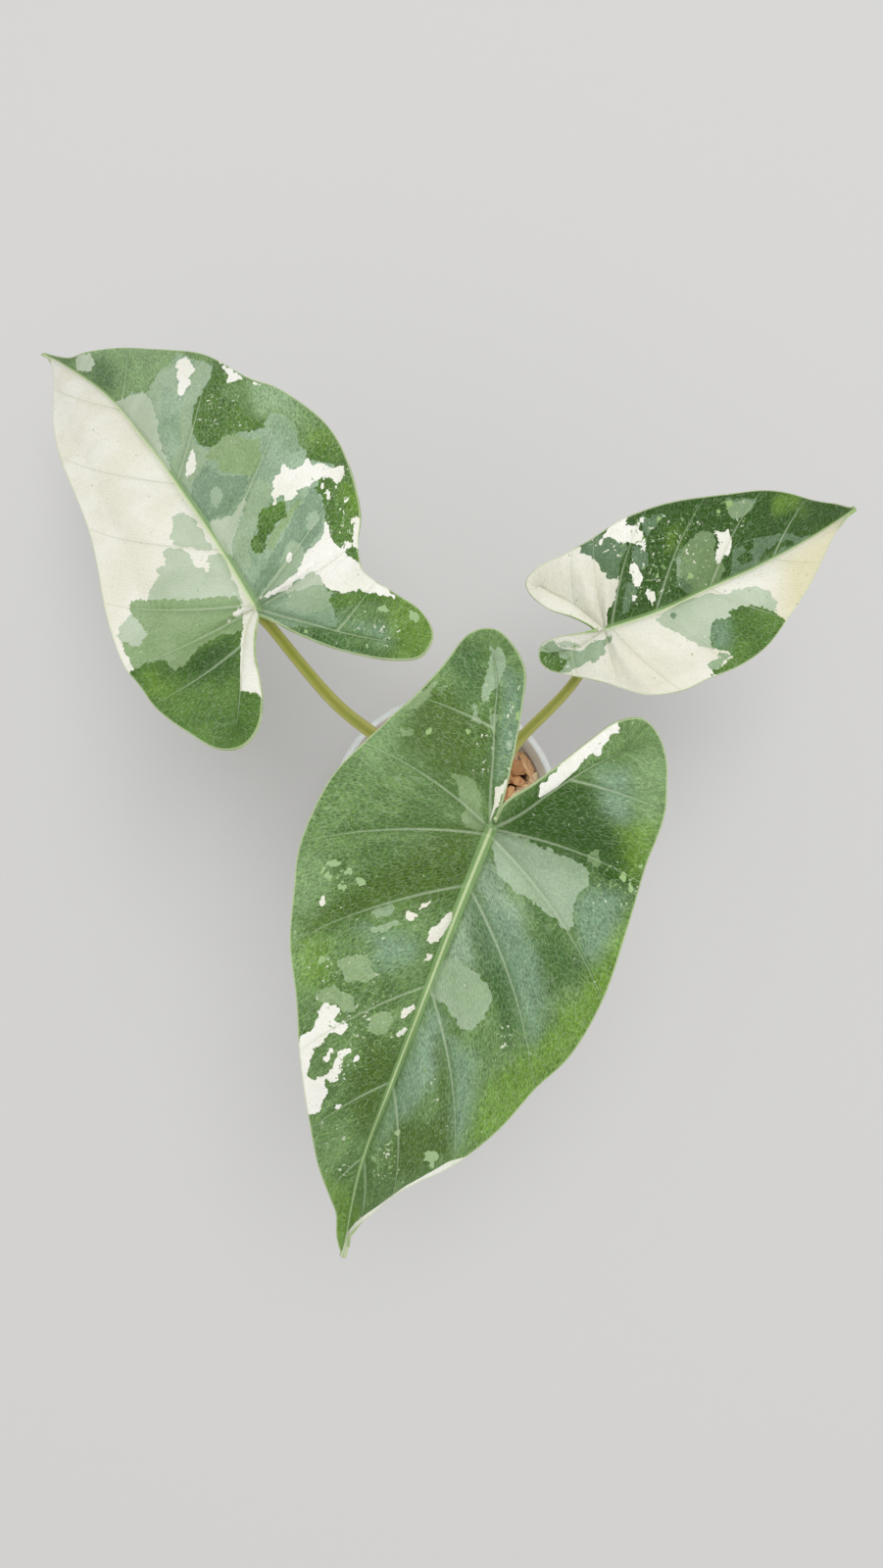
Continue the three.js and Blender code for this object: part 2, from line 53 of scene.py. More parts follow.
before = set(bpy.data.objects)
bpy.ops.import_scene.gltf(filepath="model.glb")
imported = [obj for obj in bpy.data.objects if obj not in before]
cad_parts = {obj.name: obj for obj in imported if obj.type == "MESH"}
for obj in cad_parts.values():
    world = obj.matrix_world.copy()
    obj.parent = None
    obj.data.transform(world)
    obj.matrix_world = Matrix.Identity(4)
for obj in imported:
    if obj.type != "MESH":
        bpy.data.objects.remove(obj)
bpy.context.view_layer.update()
cad_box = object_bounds()
print("nodes:", sorted(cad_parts))
print("box in mm:", [round(c / MM) for corner in cad_box for c in corner])


# %% Meshes and objects
def mesh_of(shape, name):
    """Turns a finished bmesh into a mesh."""
    mesh = bpy.data.meshes.new(name)
    shape.to_mesh(mesh)
    shape.free()
    return mesh


def in_scene(name, data):
    """Puts a mesh, a lamp or a camera in the scene as an object."""
    thing = bpy.data.objects.new(name, data)
    bpy.context.scene.collection.objects.link(thing)
    return thing


# %% [markdown]
# ## The view from above
#
# The plant was seen from straight above, from about half a metre over the floor. A camera with
# a known height and focal length is also a ruler: any point of a leaf can be turned into a
# point of the picture, which is how the painted patches find their places on the leaves later.

# %% Camera
PICTURE_WIDTH = 901
PICTURE_HEIGHT = 1600
FOCAL_PIXELS = 1200
CAMERA_PLACE = np.array([-1.4, 10.0, 544.0])
SENSOR_HEIGHT = 36

camera_data = bpy.data.cameras.new("camera_above")
camera_data.sensor_fit = "VERTICAL"
camera_data.sensor_height = SENSOR_HEIGHT
camera_data.lens = SENSOR_HEIGHT * FOCAL_PIXELS / PICTURE_HEIGHT
camera_data.clip_start = 0.01
camera_data.dof.use_dof = False
camera = in_scene("camera_above", camera_data)
camera.location = [c * MM for c in CAMERA_PLACE]
bpy.context.scene.camera = camera


def picture_points(points):
    """Where points of the plant, in mm, show in the picture, in pixels from its upper left."""
    depth = CAMERA_PLACE[2] - points[:, 2]
    across = PICTURE_WIDTH / 2 + (points[:, 0] - CAMERA_PLACE[0]) * FOCAL_PIXELS / depth
    down = PICTURE_HEIGHT / 2 - (points[:, 1] - CAMERA_PLACE[1]) * FOCAL_PIXELS / depth
    return np.stack([across, down], axis=1)


print("lens in mm:", camera_data.lens)

# %% [markdown]
# ## The outline of each leaf
#
# A taro blade is shaped like an arrowhead: one midrib runs to the tip, and a rib runs back into
# each of the two lobes. A half blade is described by stations. A station is a place on a rib,
# the point of the margin that belongs to it, and a mark where a side vein ends there. All
# points are [along, across] in mm, "along" towards the tip and "across" to the left of it.

# %% Leaf measures
FRONT_LEAF = {
    "name": "front", "joint": (11.5, -2, 235), "heading": -108, "pitch": 0.12,
    "droop": 0.0016, "lobe_droop": 0.0016, "arch_rise": 4, "arch_half_width": 24,
    "midrib": [(0, 0), (24, -1.5), (50, -2.5), (77, -3.5), (106, -4), (140, 0)],
    "left": {
        "lobe_rib": [(0, 0), (-6, 6), (-13.5, 11.5), (-20.5, 17), (-26.5, 22.5), (-30.5, 27)],
        "inner": [(0, -2.5, 0.5), (0.13, -8, 1.5), (0.3, -15, 7), (0.55, -23, 12.5),
                  (0.8, -30.5, 17.5)],
        "round": [(-36.5, 22), (-39.5, 28), (-37, 33.5), (-31.5, 37.5)],
        "outer": [(0.8, -25, 39.5), (0.55, -18.5, 41, "vein"), (0.3, -11.5, 41.5),
                  (0.13, -5, 41.5), (0, 1, 41.5, "vein")],
        "side": [(0, 15, 42), (0.02, 34, 42.5, "vein"), (0.08, 51.5, 40), (0.14, 64.5, 34, "vein"),
                 (0.25, 79, 28.5), (0.365, 93.5, 20.5, "vein"), (0.48, 102.5, 13.5),
                 (0.59, 110.5, 7.5, "vein"), (0.68, 116.5, 4), (0.77, 122, 1, "vein"),
                 (0.87, 129, -0.7), (0.94, 134.5, 0)],
    },
    "right": {
        "lobe_rib": [(0, 0), (-9, -3), (-19, -5.5), (-27.5, -8), (-36, -10), (-42.5, -13)],
        "inner": [(0, -2.5, 0.5), (0.13, -8, 0.5), (0.3, -15.5, 0), (0.55, -25, -1),
                  (0.8, -34.5, -2.5)],
        "round": [(-42, -4.5), (-47.5, -9.5), (-50, -15.5), (-46.5, -21.5)],
        "outer": [(0.8, -37, -25), (0.55, -27, -29.5, "vein"), (0.3, -20.5, -33.5),
                  (0.13, -16, -36), (0, -11.5, -38.5, "vein")],
        "side": [(0, 0.5, -44), (0.02, 18.5, -46.5, "vein"), (0.08, 32.5, -44.5),
                 (0.14, 46, -41.5, "vein"), (0.25, 60, -35.5), (0.365, 74.5, -30.5, "vein"),
                 (0.48, 86, -26), (0.59, 97, -21, "vein"), (0.68, 107, -16),
                 (0.77, 115.5, -10.5, "vein"), (0.87, 122.5, -6.5), (0.94, 131.5, -4)],
    },
}

FAR_LEFT_LEAF = {
    "name": "far_left", "joint": (-57, 62.5, 193), "heading": 131, "pitch": 0.45,
    "droop": 0.002, "lobe_droop": 0.002, "arch_rise": 4, "arch_half_width": 22,
    "midrib": [(0, 0), (23, -3.5), (48, -6), (77.5, -8), (113, -8), (164, 0)],
    "left": {
        "lobe_rib": [(0, 0), (-3, 5.5), (-7.5, 10.5), (-13.5, 16), (-18.5, 20.5), (-24, 26)],
        "inner": [(0, -2.5, 0.5), (0.15, -6, 4.5), (0.35, -11.5, 9), (0.6, -18.5, 12.5),
                  (0.8, -23.5, 15.5)],
        "round": [(-28.5, 20.5), (-30.5, 26.5), (-29, 31.5), (-24.5, 35.5)],
        "outer": [(0.8, -17, 38), (0.6, -10, 40), (0.35, -2.5, 41.5, "vein"), (0.15, 5.5, 41.5),
                  (0, 13, 41.5, "vein")],
        "side": [(0, 23, 39), (0.02, 35.5, 35, "vein"), (0.1, 48.5, 30), (0.2, 63, 25, "vein"),
                 (0.32, 78.5, 21.5), (0.44, 97.5, 18, "vein"), (0.58, 116, 13),
                 (0.72, 133, 5, "vein"), (0.84, 145, 0), (0.93, 154, -1)],
    },
    "right": {
        "lobe_rib": [(0, 0), (-8.5, -5), (-16.5, -10), (-24.5, -15), (-31.5, -20), (-37, -24.5)],
        "inner": [(0, -2.5, 0.5), (0.13, -6.5, -1.5), (0.3, -15, -4.5), (0.55, -25.5, -9.5),
                  (0.8, -34, -15)],
        "round": [(-41, -21), (-45, -27), (-42.5, -33.5), (-35, -35.5)],
        "outer": [(0.8, -26.5, -33.5), (0.55, -19.5, -31.5, "vein"), (0.3, -14, -31),
                  (0.13, -10, -33), (0, -6, -36, "vein")],
        "side": [(0, 1, -42.5), (0.02, 16, -50, "vein"), (0.1, 32.5, -54), (0.2, 53.5, -52, "vein"),
                 (0.32, 67, -47), (0.44, 87.5, -43, "vein"), (0.58, 103, -36),
                 (0.72, 120.5, -25.5, "vein"), (0.83, 134.5, -14), (0.9, 143.5, -6.6)],
    },
}

FAR_RIGHT_LEAF = {
    "name": "far_right", "joint": (50, 58.5, 175), "heading": 27, "pitch": 0.1,
    "droop": 0.0022, "lobe_droop": 0.012, "arch_rise": 3, "arch_half_width": 15,
    "midrib": [(0, 0), (18, -2.5), (37, -3), (57.5, -3.5), (79.5, -2.5), (102.5, 0)],
    "left": {
        "lobe_rib": [(0, 0), (-2.5, 5.5), (-5, 11), (-8, 15.5), (-10.5, 19), (-12, 21.5)],
        "inner": [(0, -2.5, 0.5), (0.2, -4, 3.5), (0.4, -7.5, 8), (0.65, -12.5, 13),
                  (0.85, -15, 17.5)],
        "round": [(-16, 21), (-15.5, 24.5), (-12, 26.5)],
        "outer": [(0.85, -7.5, 27), (0.65, -3, 26.5), (0.4, 1.5, 26.5, "vein"), (0.2, 5.5, 27),
                  (0, 10, 27.5, "vein")],
        "side": [(0, 19, 28.5), (0.035, 29, 28, "vein"), (0.11, 39.5, 26.5), (0.19, 50, 24, "vein"),
                 (0.29, 60, 21), (0.4, 69, 18, "vein"), (0.52, 77, 14), (0.64, 84, 9.5, "vein"),
                 (0.75, 89, 6), (0.85, 93.5, 3.5), (0.93, 98, 1.5)],
    },
    "right": {
        "lobe_rib": [(0, 0), (-4, -0.5), (-8.5, -1), (-12.5, -1), (-15.5, 0), (-18, 0.5)],
        "inner": [(0, -2.5, 0.5), (0.15, -5.5, 1.5), (0.35, -10, 3), (0.6, -14, 4.5),
                  (0.85, -17.5, 5)],
        "round": [(-20.5, 4.5), (-22.5, 1), (-21.5, -3)],
        "outer": [(0.85, -18, -6.5), (0.6, -14.5, -9.5, "vein"), (0.35, -11.5, -12),
                  (0.15, -8, -15), (0, -4, -19, "vein")],
        "side": [(0, 2.5, -24.5), (0.035, 12.5, -28, "vein"), (0.11, 22.5, -28.5),
                 (0.19, 34, -29.5, "vein"), (0.29, 45, -28), (0.4, 56, -23, "vein"),
                 (0.52, 67, -17.5), (0.64, 77, -11.5, "vein"), (0.75, 84.5, -6.5),
                 (0.85, 91.5, -3), (0.93, 97, -1)],
    },
}
LEAVES = [FRONT_LEAF, FAR_LEFT_LEAF, FAR_RIGHT_LEAF]
for leaf in LEAVES:
    print(leaf["name"], "is", leaf["midrib"][-1][0], "mm from joint to tip")

# %% [markdown]
# ## Smooth lines through a few points
#
# The margin and the ribs are given by few points. A Catmull-Rom line passes through every
# point that it is given, so the measured points stay on the outline, and it bends smoothly
# between them.

# %% Smooth line
def smooth_line(points, places):
    """Points of a Catmull-Rom line at places from 0, its start, to 1, its end."""
    points = np.asarray(points, float)
    last = len(points) - 1
    slot = np.asarray(places, float) * last
    low = np.clip(np.floor(slot).astype(int), 0, last - 1)
    t = (slot - low)[:, None]
    before = points[np.maximum(low - 1, 0)]
    start = points[low]
    end = points[low + 1]
    after = points[np.minimum(low + 2, last)]
    leave = (end - before) / 2
    arrive = (after - start) / 2
    cubic = (2 * start - 2 * end + leave + arrive) * t ** 3
    square = (3 * end - 3 * start - 2 * leave - arrive) * t ** 2
    return cubic + square + leave * t + start


print("halfway along the front midrib:", smooth_line(FRONT_LEAF["midrib"], [0.5])[0].round(1))

# %% [markdown]
# ## From stations to rows
#
# A half blade is a fan of rows. Each row starts on a rib and ends on the margin, and the rows
# go round the lobe and on to the tip. Because the marked rows lie on side veins, the veins,
# their grooves and the swelling between them all follow the mesh. A real side vein bends a
# little towards the stalk before it turns to the tip, so the rows are bowed the same way.

# %% Rows of a half blade
ROWS_PER_STATION = 12
COLUMNS = 40
COLUMN_CROWDING = 1.25
VEIN_BOW = 0.05


def half_rows(leaf, half):
    """The rows of half a blade: where each starts and ends, and how it lies between veins."""
    ribs = {"lobe": half["lobe_rib"], "mid": leaf["midrib"]}
    stations = [("lobe", *station) for station in half["inner"]]
    stations += [("lobe", 1, *edge) for edge in half["round"]]
    stations += [("lobe", *station) for station in half["outer"]]
    stations += [("mid", *station) for station in half["side"]]
    stations.append(("mid", 1, *leaf["midrib"][-1]))
    last = len(stations) - 1
    veins = [i for i, station in enumerate(stations) if station[-1] == "vein"]
    first_outer = len(half["inner"]) + len(half["round"])
    rows = []
    for i in range(last * ROWS_PER_STATION + 1):
        place = i / ROWS_PER_STATION
        low = min(int(place), last - 1)
        start = stations[low]
        end = stations[low + 1]
        rib = start[0] if place == low else end[0]
        start_at = start[1] if start[0] == rib else 0
        at = start_at + (end[1] - start_at) * (place - low)
        before = [vein for vein in veins if vein <= place]
        after = [vein for vein in veins if vein > place]
        between = (place - before[-1]) / (after[0] - before[-1]) if before and after else 0
        bow = VEIN_BOW * min(max((place - first_outer) / 2, 0), 1)
        root = smooth_line(ribs[rib], [at])[0]
        rows.append({"root": root, "at": at, "place": place, "between": between, "bow": bow})
    places = [row["place"] / last for row in rows]
    margin = smooth_line([station[2:4] for station in stations], places)
    for row, edge in zip(rows, margin):
        row["edge"] = edge
    return rows, [vein * ROWS_PER_STATION for vein in veins]


for leaf in LEAVES:
    leaf["rows"] = {side: half_rows(leaf, leaf[side]) for side in ("left", "right")}
    print(leaf["name"], {side: len(rows[0]) for side, rows in leaf["rows"].items()}, "rows")

# %% [markdown]
# ## Height of the upper face
#
# A blade isn't flat. It falls away from the stalk, each half rises a little from the midrib
# and turns over at the margin, the sheet swells between the side veins, and the margin waves.
# The formula is the same one that shaped the solid model, so the finer blade lies on it.

# %% Upper face of a blade
ARCH_END = 1.6
QUILT_HEIGHT = 1.5
QUILT_FULL_WIDTH = 30
QUILT_END = 1.1
QUILT_SHIFT = 0.8
MARGIN_WAVE = 1.2
WAVES_PER_STATION = 0.23


def half_surface(leaf, side):
    """Plan points, heights and row facts of half a blade, as grids of rows and columns."""
    rows, veins = leaf["rows"][side]

    def column(key):
        return np.array([row[key] for row in rows], float)

    root = column("root")[:, None, :]
    edge = column("edge")[:, None, :]
    fraction = (np.linspace(0, 1, COLUMNS + 1) ** COLUMN_CROWDING)[None, :, None]
    chord = edge - root
    width = np.maximum(np.linalg.norm(chord, axis=2), 1e-6)
    turn = 1 if side == "left" else -1
    towards_base = np.stack([-chord[..., 1], chord[..., 0]], axis=2) * turn
    bow = column("bow")[:, None, None] * 4 * fraction * (1 - fraction)
    plan = root + chord * fraction + towards_base * bow
    fraction = np.broadcast_to(fraction[..., 0], plan.shape[:2])
    along = plan[..., 0]
    sag = np.where(along > 0, leaf["droop"], leaf["lobe_droop"])
    ground = -leaf["pitch"] * along - sag * along ** 2
    arch = np.minimum(fraction * width / leaf["arch_half_width"], ARCH_END)
    fold = leaf["arch_rise"] * (2 * arch - arch ** 2)
    fullness = np.minimum(width / QUILT_FULL_WIDTH, 1)
    swell = np.sin(math.pi * np.minimum(fraction * QUILT_END, 1) ** QUILT_SHIFT)
    between = column("between")[:, None]
    place = column("place")[:, None]
    quilt = QUILT_HEIGHT * fullness * np.sin(math.pi * between) ** 2 * swell
    turns = np.sin(2 * math.pi * WAVES_PER_STATION * place)
    wave = MARGIN_WAVE * fullness * fraction ** 3 * turns
    return {
        "plan": plan, "height": ground + fold + quilt + wave, "fraction": fraction,
        "width": np.broadcast_to(width, fraction.shape),
        "at": np.broadcast_to(column("at")[:, None], fraction.shape),
        "place": np.broadcast_to(place, fraction.shape),
        "turn": np.full(fraction.shape, float(turn)),
        "veins": [plan[vein] for vein in veins], "margin": plan[:, -1],
    }


for leaf in LEAVES:
    leaf["surface"] = {side: half_surface(leaf, side) for side in ("left", "right")}
    heights = np.concatenate([s["height"].ravel() for s in leaf["surface"].values()])
    span = heights.min().round(), heights.max().round()
    print(leaf["name"], "heights over its joint in mm:", span)

# %% [markdown]
# ## The blade as a sheet
#
# Blender's grid operator makes a flat sheet of rows and columns. Every corner of it is then
# moved to its place on the leaf, once for each half, and the two halves are merged along the
# midrib and the lobe ribs. Facts that the finish needs later, such as which half a corner
# belongs to, ride along as layers of numbers on the corners.

# %% Grid to half blade
CARRIED = ["fraction", "width", "at", "place", "turn"]
GRID_SPAN = 1.0
MAP_PER_STATION = 10
MERGE_DISTANCE = 0.02 * MM


def add_half(sheet, leaf, side):
    """Adds half a blade to a sheet, and marks its corners with the facts that it carries."""
    surface = leaf["surface"][side]
    row_count, column_count = surface["height"].shape
    made = bmesh.ops.create_grid(
        sheet, x_segments=column_count - 1, y_segments=row_count - 1, size=GRID_SPAN / 2)
    layers = {key: sheet.verts.layers.float[key] for key in CARRIED}
    uv = sheet.loops.layers.uv["rows"]
    for vert in made["verts"]:
        j = round((vert.co.x + GRID_SPAN / 2) * (column_count - 1))
        i = round((vert.co.y + GRID_SPAN / 2) * (row_count - 1))
        along, across = surface["plan"][i, j]
        vert.co = (along * MM, across * MM, surface["height"][i, j] * MM)
        for key in CARRIED:
            vert[layers[key]] = surface[key][i, j]
    faces = list({face for vert in made["verts"] for face in vert.link_faces})
    for face in faces:
        face.smooth = True
        for loop in face.loops:
            fraction, width, _, place, turn = [loop.vert[layers[key]] for key in CARRIED]
            loop[uv].uv = (fraction * width * turn, place * MAP_PER_STATION)
    if side == "left":
        bmesh.ops.reverse_faces(sheet, faces=faces)


def blade_sheet(leaf):
    """The upper face of a whole blade, in its own plan frame, in metres."""
    sheet = bmesh.new()
    for key in CARRIED:
        sheet.verts.layers.float.new(key)
    sheet.loops.layers.uv.new("rows")
    add_half(sheet, leaf, "left")
    add_half(sheet, leaf, "right")
    bmesh.ops.remove_doubles(sheet, verts=sheet.verts, dist=MERGE_DISTANCE)
    bmesh.ops.dissolve_degenerate(sheet, edges=sheet.edges, dist=MERGE_DISTANCE / 4)
    bmesh.ops.triangulate(sheet, faces=[face for face in sheet.faces if len(face.verts) > 4])
    for edge in sheet.edges:
        edge.smooth = not edge.is_boundary
    return sheet


for leaf in LEAVES:
    leaf["sheet"] = blade_sheet(leaf)
    up = sum(face.normal.z > 0 for face in leaf["sheet"].faces)
    print(leaf["name"], len(leaf["sheet"].faces), "faces,", up, "of them face up")

# %% [markdown]
# ## Where the colours of a marbled leaf lie
#
# The pale areas of such a leaf are patches of tissue with little or no green in them. Each
# patch has a ragged edge, keeps to one side of the midrib, and lies where it happened to grow,
# so no noise pattern can give it. The patches are drawn as a few corners each, as they show
# from above. Most kinds have sharp edges and are painted in the order that the leaf finish
# gives. "border" is a pale margin with an even edge. "ash", "teal", "haze", "olive", "shade",
# "deep" and "glow" are soft tones, mostly painted light and shade: "ash", "teal" and "haze" are
# painted sheen on the lit slopes of the puckered blade, "olive", "shade" and "deep" are painted
# shade in its hollows, partly the leaf's own darker green, and "glow" is painted light shining
# through the blade. "butter" warms the cream, and "fleck" says where tiny white specks are
# scattered. An outline lists its corners one after another, each with its place across and down
# in the view of the camera.

# %% Front leaf, both halves
EVERYWHERE = [-200, -200, 1100, -200, 1100, 1800, -200, 1800]
patches = FRONT_LEAF["patches"] = {}
patches["white"] = [
    [633, 724, 614, 736, 596, 748, 582, 768, 572, 778, 568, 788, 561, 793, 553, 804, 547, 813,
     550, 815, 569, 803, 583, 790, 593, 782, 592, 779, 605, 768, 604, 771, 608, 773, 612, 769,
     619, 757, 631, 744],
    [323, 1029, 335, 1025, 346, 1025, 347, 1029, 343, 1034, 341, 1042, 346, 1043, 352, 1041,
     356, 1046, 352, 1052, 345, 1056, 341, 1054, 333, 1058, 331, 1065, 325, 1068, 318, 1069,
     317, 1081, 314, 1090, 314, 1100, 321, 1102, 323, 1099, 331, 1100, 331, 1107, 334, 1113,
     327, 1132, 323, 1136, 314, 1138, 306, 1136, 298, 1073, 306, 1057, 316, 1054, 323, 1038],
    [354, 1069, 358, 1071, 357, 1077, 350, 1081, 347, 1086, 347, 1096, 343, 1103, 337, 1105,
     332, 1096, 341, 1086, 343, 1079, 348, 1071],
    [336, 1071, 340, 1073, 336, 1081, 331, 1085, 329, 1081],
    [343, 1127, 348, 1128, 346, 1134, 342, 1132],
    [319, 1018, 322, 1019, 324, 1026, 321, 1026],
    [358, 1082, 366, 1078, 364, 1083],
]
patches["border"] = [
    [497, 1165, 477, 1180, 458, 1185, 443, 1194, 425, 1204, 414, 1210, 400, 1220, 385, 1231,
     372, 1240, 362, 1248, 354, 1258, 348, 1281, 352, 1300, 400, 1262, 470, 1212, 500, 1180],
]
# Soft tone: painted light shining through the tip.
patches["glow"] = [
    [326, 1195, 352, 1212, 368, 1240, 356, 1292, 336, 1292],
]
print("front leaf, both halves:", list(patches))

# %% Front leaf, left half
patches = FRONT_LEAF["left_half_patches"] = {}
patches["mint"] = [
    [506, 849, 523, 851, 533, 854, 554, 864, 566, 869, 587, 878, 606, 890, 601, 896, 597, 909,
     589, 914, 586, 922, 585, 936, 584, 950, 580, 952, 574, 946, 563, 934, 546, 921, 537, 916,
     528, 914, 513, 898, 506, 887, 503, 875, 502, 863],
    [453, 980, 466, 980, 474, 986, 487, 993, 497, 1007, 503, 1023, 490, 1043, 483, 1051, 471, 1051,
     467, 1044, 456, 1027, 443, 1017, 436, 1012, 438, 1000],
]
patches["sage"] = [
    [598, 874, 609, 868, 613, 874, 614, 883, 606, 888],
]
patches["fresh"] = [
    [630, 894, 636, 892, 638, 897, 632, 900],
    [641, 903, 646, 901, 647, 912, 641, 920],
    [608, 902, 613, 902, 612, 907],
    [619, 901, 623, 902, 621, 905],
    [652, 882, 656, 883, 654, 887],
    [430, 1179, 439, 1171, 448, 1175, 449, 1181, 443, 1185, 439, 1194, 438, 1185, 432, 1183],
    [379, 1179, 385, 1180, 383, 1185],
    [395, 1183, 400, 1186, 398, 1192],
    [401, 1155, 408, 1154, 406, 1159],
    [450, 1135, 454, 1136, 452, 1140],
]
# Soft tones from here on: painted sheen, painted shade and painted glow, partly the leaf's own
# tints.
patches["ash"] = [
    [485, 876, 503, 884, 512, 900, 528, 914, 536, 925, 536, 945, 515, 940, 498, 928, 480, 905],
    [432, 1052, 448, 1040, 455, 1066, 446, 1098, 430, 1116, 422, 1096],
    [486, 926, 500, 936, 512, 975, 500, 985, 486, 960],
    [480, 915, 484, 930, 482, 960, 486, 985, 470, 985, 455, 980, 465, 950],
]
patches["teal"] = [
    [486, 918, 500, 925, 520, 935, 545, 965, 555, 1000, 557, 1040, 548, 1075, 538, 1060, 520, 1010,
     505, 970],
    [586, 925, 600, 903, 625, 898, 640, 905, 636, 940, 612, 985, 598, 978, 588, 955],
    [606, 782, 640, 785, 648, 815, 642, 842, 624, 846, 612, 826, 604, 800],
    [455, 1060, 470, 1065, 488, 1075, 489, 1110, 480, 1150, 466, 1172, 458, 1150, 458, 1100],
    [437, 1018, 446, 1034, 453, 1060, 450, 1090, 440, 1115, 425, 1130, 405, 1150, 390, 1165,
     398, 1120, 412, 1085, 425, 1055],
]
patches["shade"] = [
    [485, 930, 497, 945, 512, 985, 520, 1010, 530, 1045, 520, 1065, 505, 1040, 500, 1010, 488, 985,
     484, 960],
    [540, 922, 556, 930, 575, 955, 592, 985, 585, 1005, 566, 1000, 553, 965],
]
patches["olive"] = [
    [443, 1060, 452, 1068, 458, 1100, 459, 1140, 450, 1140, 444, 1100],
    [405, 1150, 425, 1140, 458, 1140, 460, 1180, 430, 1190, 400, 1200, 395, 1170],
]
patches["deep"] = [
    [505, 846, 520, 828, 545, 806, 575, 790, 602, 796, 614, 828, 636, 848, 655, 878, 662, 915,
     630, 914, 600, 900, 570, 888, 530, 870],
]
patches["haze"] = [
    [645, 770, 675, 765, 682, 800, 676, 845, 655, 850, 648, 810],
]
patches["glow"] = [
    [630, 846, 650, 842, 672, 838, 664, 880, 652, 905, 640, 898],
    [640, 930, 655, 925, 640, 985, 605, 1050, 560, 1105, 520, 1145, 488, 1168, 478, 1160, 492, 1112,
     520, 1092, 548, 1062, 575, 1035, 600, 1000],
]
patches["fleck"] = [
    [500, 1030, 530, 1030, 530, 1100, 500, 1100],
    [430, 1080, 450, 1080, 450, 1160, 430, 1150],
    [600, 870, 660, 880, 650, 930, 606, 920],
    [375, 1145, 415, 1145, 410, 1215, 370, 1215],
]
print("front leaf, left half:", list(patches))

# %% Front leaf, right half
patches = FRONT_LEAF["right_half_patches"] = {}
patches["cream"] = [
    [506, 804, 517, 796, 515, 809, 506, 826, 498, 843, 504, 821],
    [461, 930, 454, 934, 449, 942, 442, 945, 435, 960, 441, 963, 447, 960, 455, 950, 461, 939],
    [437, 972, 442, 976, 440, 981, 431, 979, 435, 976],
    [414, 932, 419, 929, 425, 931, 424, 938, 419, 940, 415, 937],
    [428, 924, 435, 921, 436, 926, 431, 929],
    [439, 919, 443, 919, 441, 922],
    [414, 942, 419, 941, 417, 944],
    [326, 914, 331, 913, 333, 922, 327, 924],
    [331, 929, 334, 929, 333, 932],
    [408, 1037, 413, 1029, 422, 1024, 424, 1028, 418, 1034, 412, 1041],
    [407, 1052, 415, 1050, 412, 1057, 403, 1058],
]
patches["mint"] = [
    [500, 656, 505, 663, 510, 659, 514, 664, 514, 683, 510, 697, 506, 703, 502, 704, 499, 707,
     499, 714, 494, 716, 491, 714, 493, 697, 499, 674, 501, 667],
    [482, 718, 487, 720, 487, 726, 489, 731, 489, 738, 484, 736, 481, 736, 481, 726],
    [500, 729, 506, 728, 509, 730, 506, 739, 505, 749, 503, 749, 500, 741, 499, 733],
    [377, 951, 385, 939, 391, 944, 400, 939, 409, 940, 411, 945, 395, 948, 382, 953],
    [378, 929, 392, 926, 403, 922, 401, 933, 390, 934, 380, 933],
    [520, 743, 522, 746, 521, 764, 518, 766, 517, 761, 518, 751],
]
patches["sage"] = [
    [462, 791, 477, 791, 486, 797, 486, 804, 491, 816, 491, 826, 496, 844, 491, 849, 487, 850,
     476, 844, 471, 837, 473, 830, 477, 827, 475, 823, 468, 817, 470, 811],
    [446, 695, 447, 699, 434, 714, 427, 724, 417, 726, 412, 722, 428, 708, 441, 695],
    [409, 743, 421, 744, 421, 750, 414, 754, 408, 752],
    [343, 981, 354, 975, 370, 974, 375, 979, 380, 981, 376, 988, 376, 992, 385, 995, 380, 1000,
     366, 1002, 352, 1000],
    [322, 1015, 329, 1009, 341, 1007, 350, 1011, 358, 1017, 362, 1025, 368, 1029, 362, 1033,
     350, 1031, 343, 1025, 322, 1021],
    [389, 1031, 398, 1035, 400, 1042, 396, 1052, 385, 1056, 375, 1054, 375, 1044, 381, 1035],
]
patches["fresh"] = [
    [452, 700, 457, 700, 456, 706, 452, 706],
    [476, 745, 480, 743, 482, 746, 481, 751, 478, 750],
    [434, 746, 440, 744, 441, 750, 435, 750],
    [526, 727, 530, 725, 531, 730, 527, 732],
    [325, 884, 336, 892, 345, 895, 352, 905, 350, 912, 343, 906, 338, 896, 328, 892],
    [335, 880, 352, 878, 350, 883, 336, 884],
    [349, 886, 357, 886, 357, 893, 352, 895],
    [361, 898, 372, 896, 373, 902, 366, 905],
    [322, 978, 330, 976, 334, 981, 325, 984],
]
# Soft tones from here on: painted sheen, painted shade and painted glow, partly the leaf's own
# tints.
patches["haze"] = [
    [400, 715, 425, 725, 398, 762, 376, 788, 366, 782, 382, 748],
    [336, 872, 334, 920, 330, 955, 318, 1010, 295, 1020, 286, 950, 290, 885, 308, 866],
    [288, 900, 300, 880, 312, 900, 308, 950, 294, 950],
]
patches["olive"] = [
    [428, 700, 462, 694, 486, 728, 490, 802, 462, 797, 430, 772, 412, 742],
    [486, 845, 484, 894, 474, 918, 432, 926, 390, 930, 350, 938, 312, 962, 300, 968, 308, 940,
     345, 915, 375, 893, 400, 878, 430, 858, 455, 842],
    [415, 752, 440, 760, 470, 790, 455, 795, 440, 785, 425, 770, 412, 765],
    [486, 725, 500, 735, 500, 780, 494, 800, 488, 780, 484, 750],
    [370, 1060, 408, 1056, 405, 1090, 392, 1125, 380, 1150, 362, 1160, 358, 1130, 362, 1090],
]
patches["shade"] = [
    [461, 670, 485, 660, 492, 690, 488, 715, 478, 725, 465, 710],
]
patches["teal"] = [
    [515, 680, 528, 690, 532, 710, 528, 760, 515, 790, 505, 800, 503, 775, 508, 745, 510, 715],
    [370, 946, 400, 950, 425, 955, 425, 977, 400, 990, 375, 985, 378, 965],
]
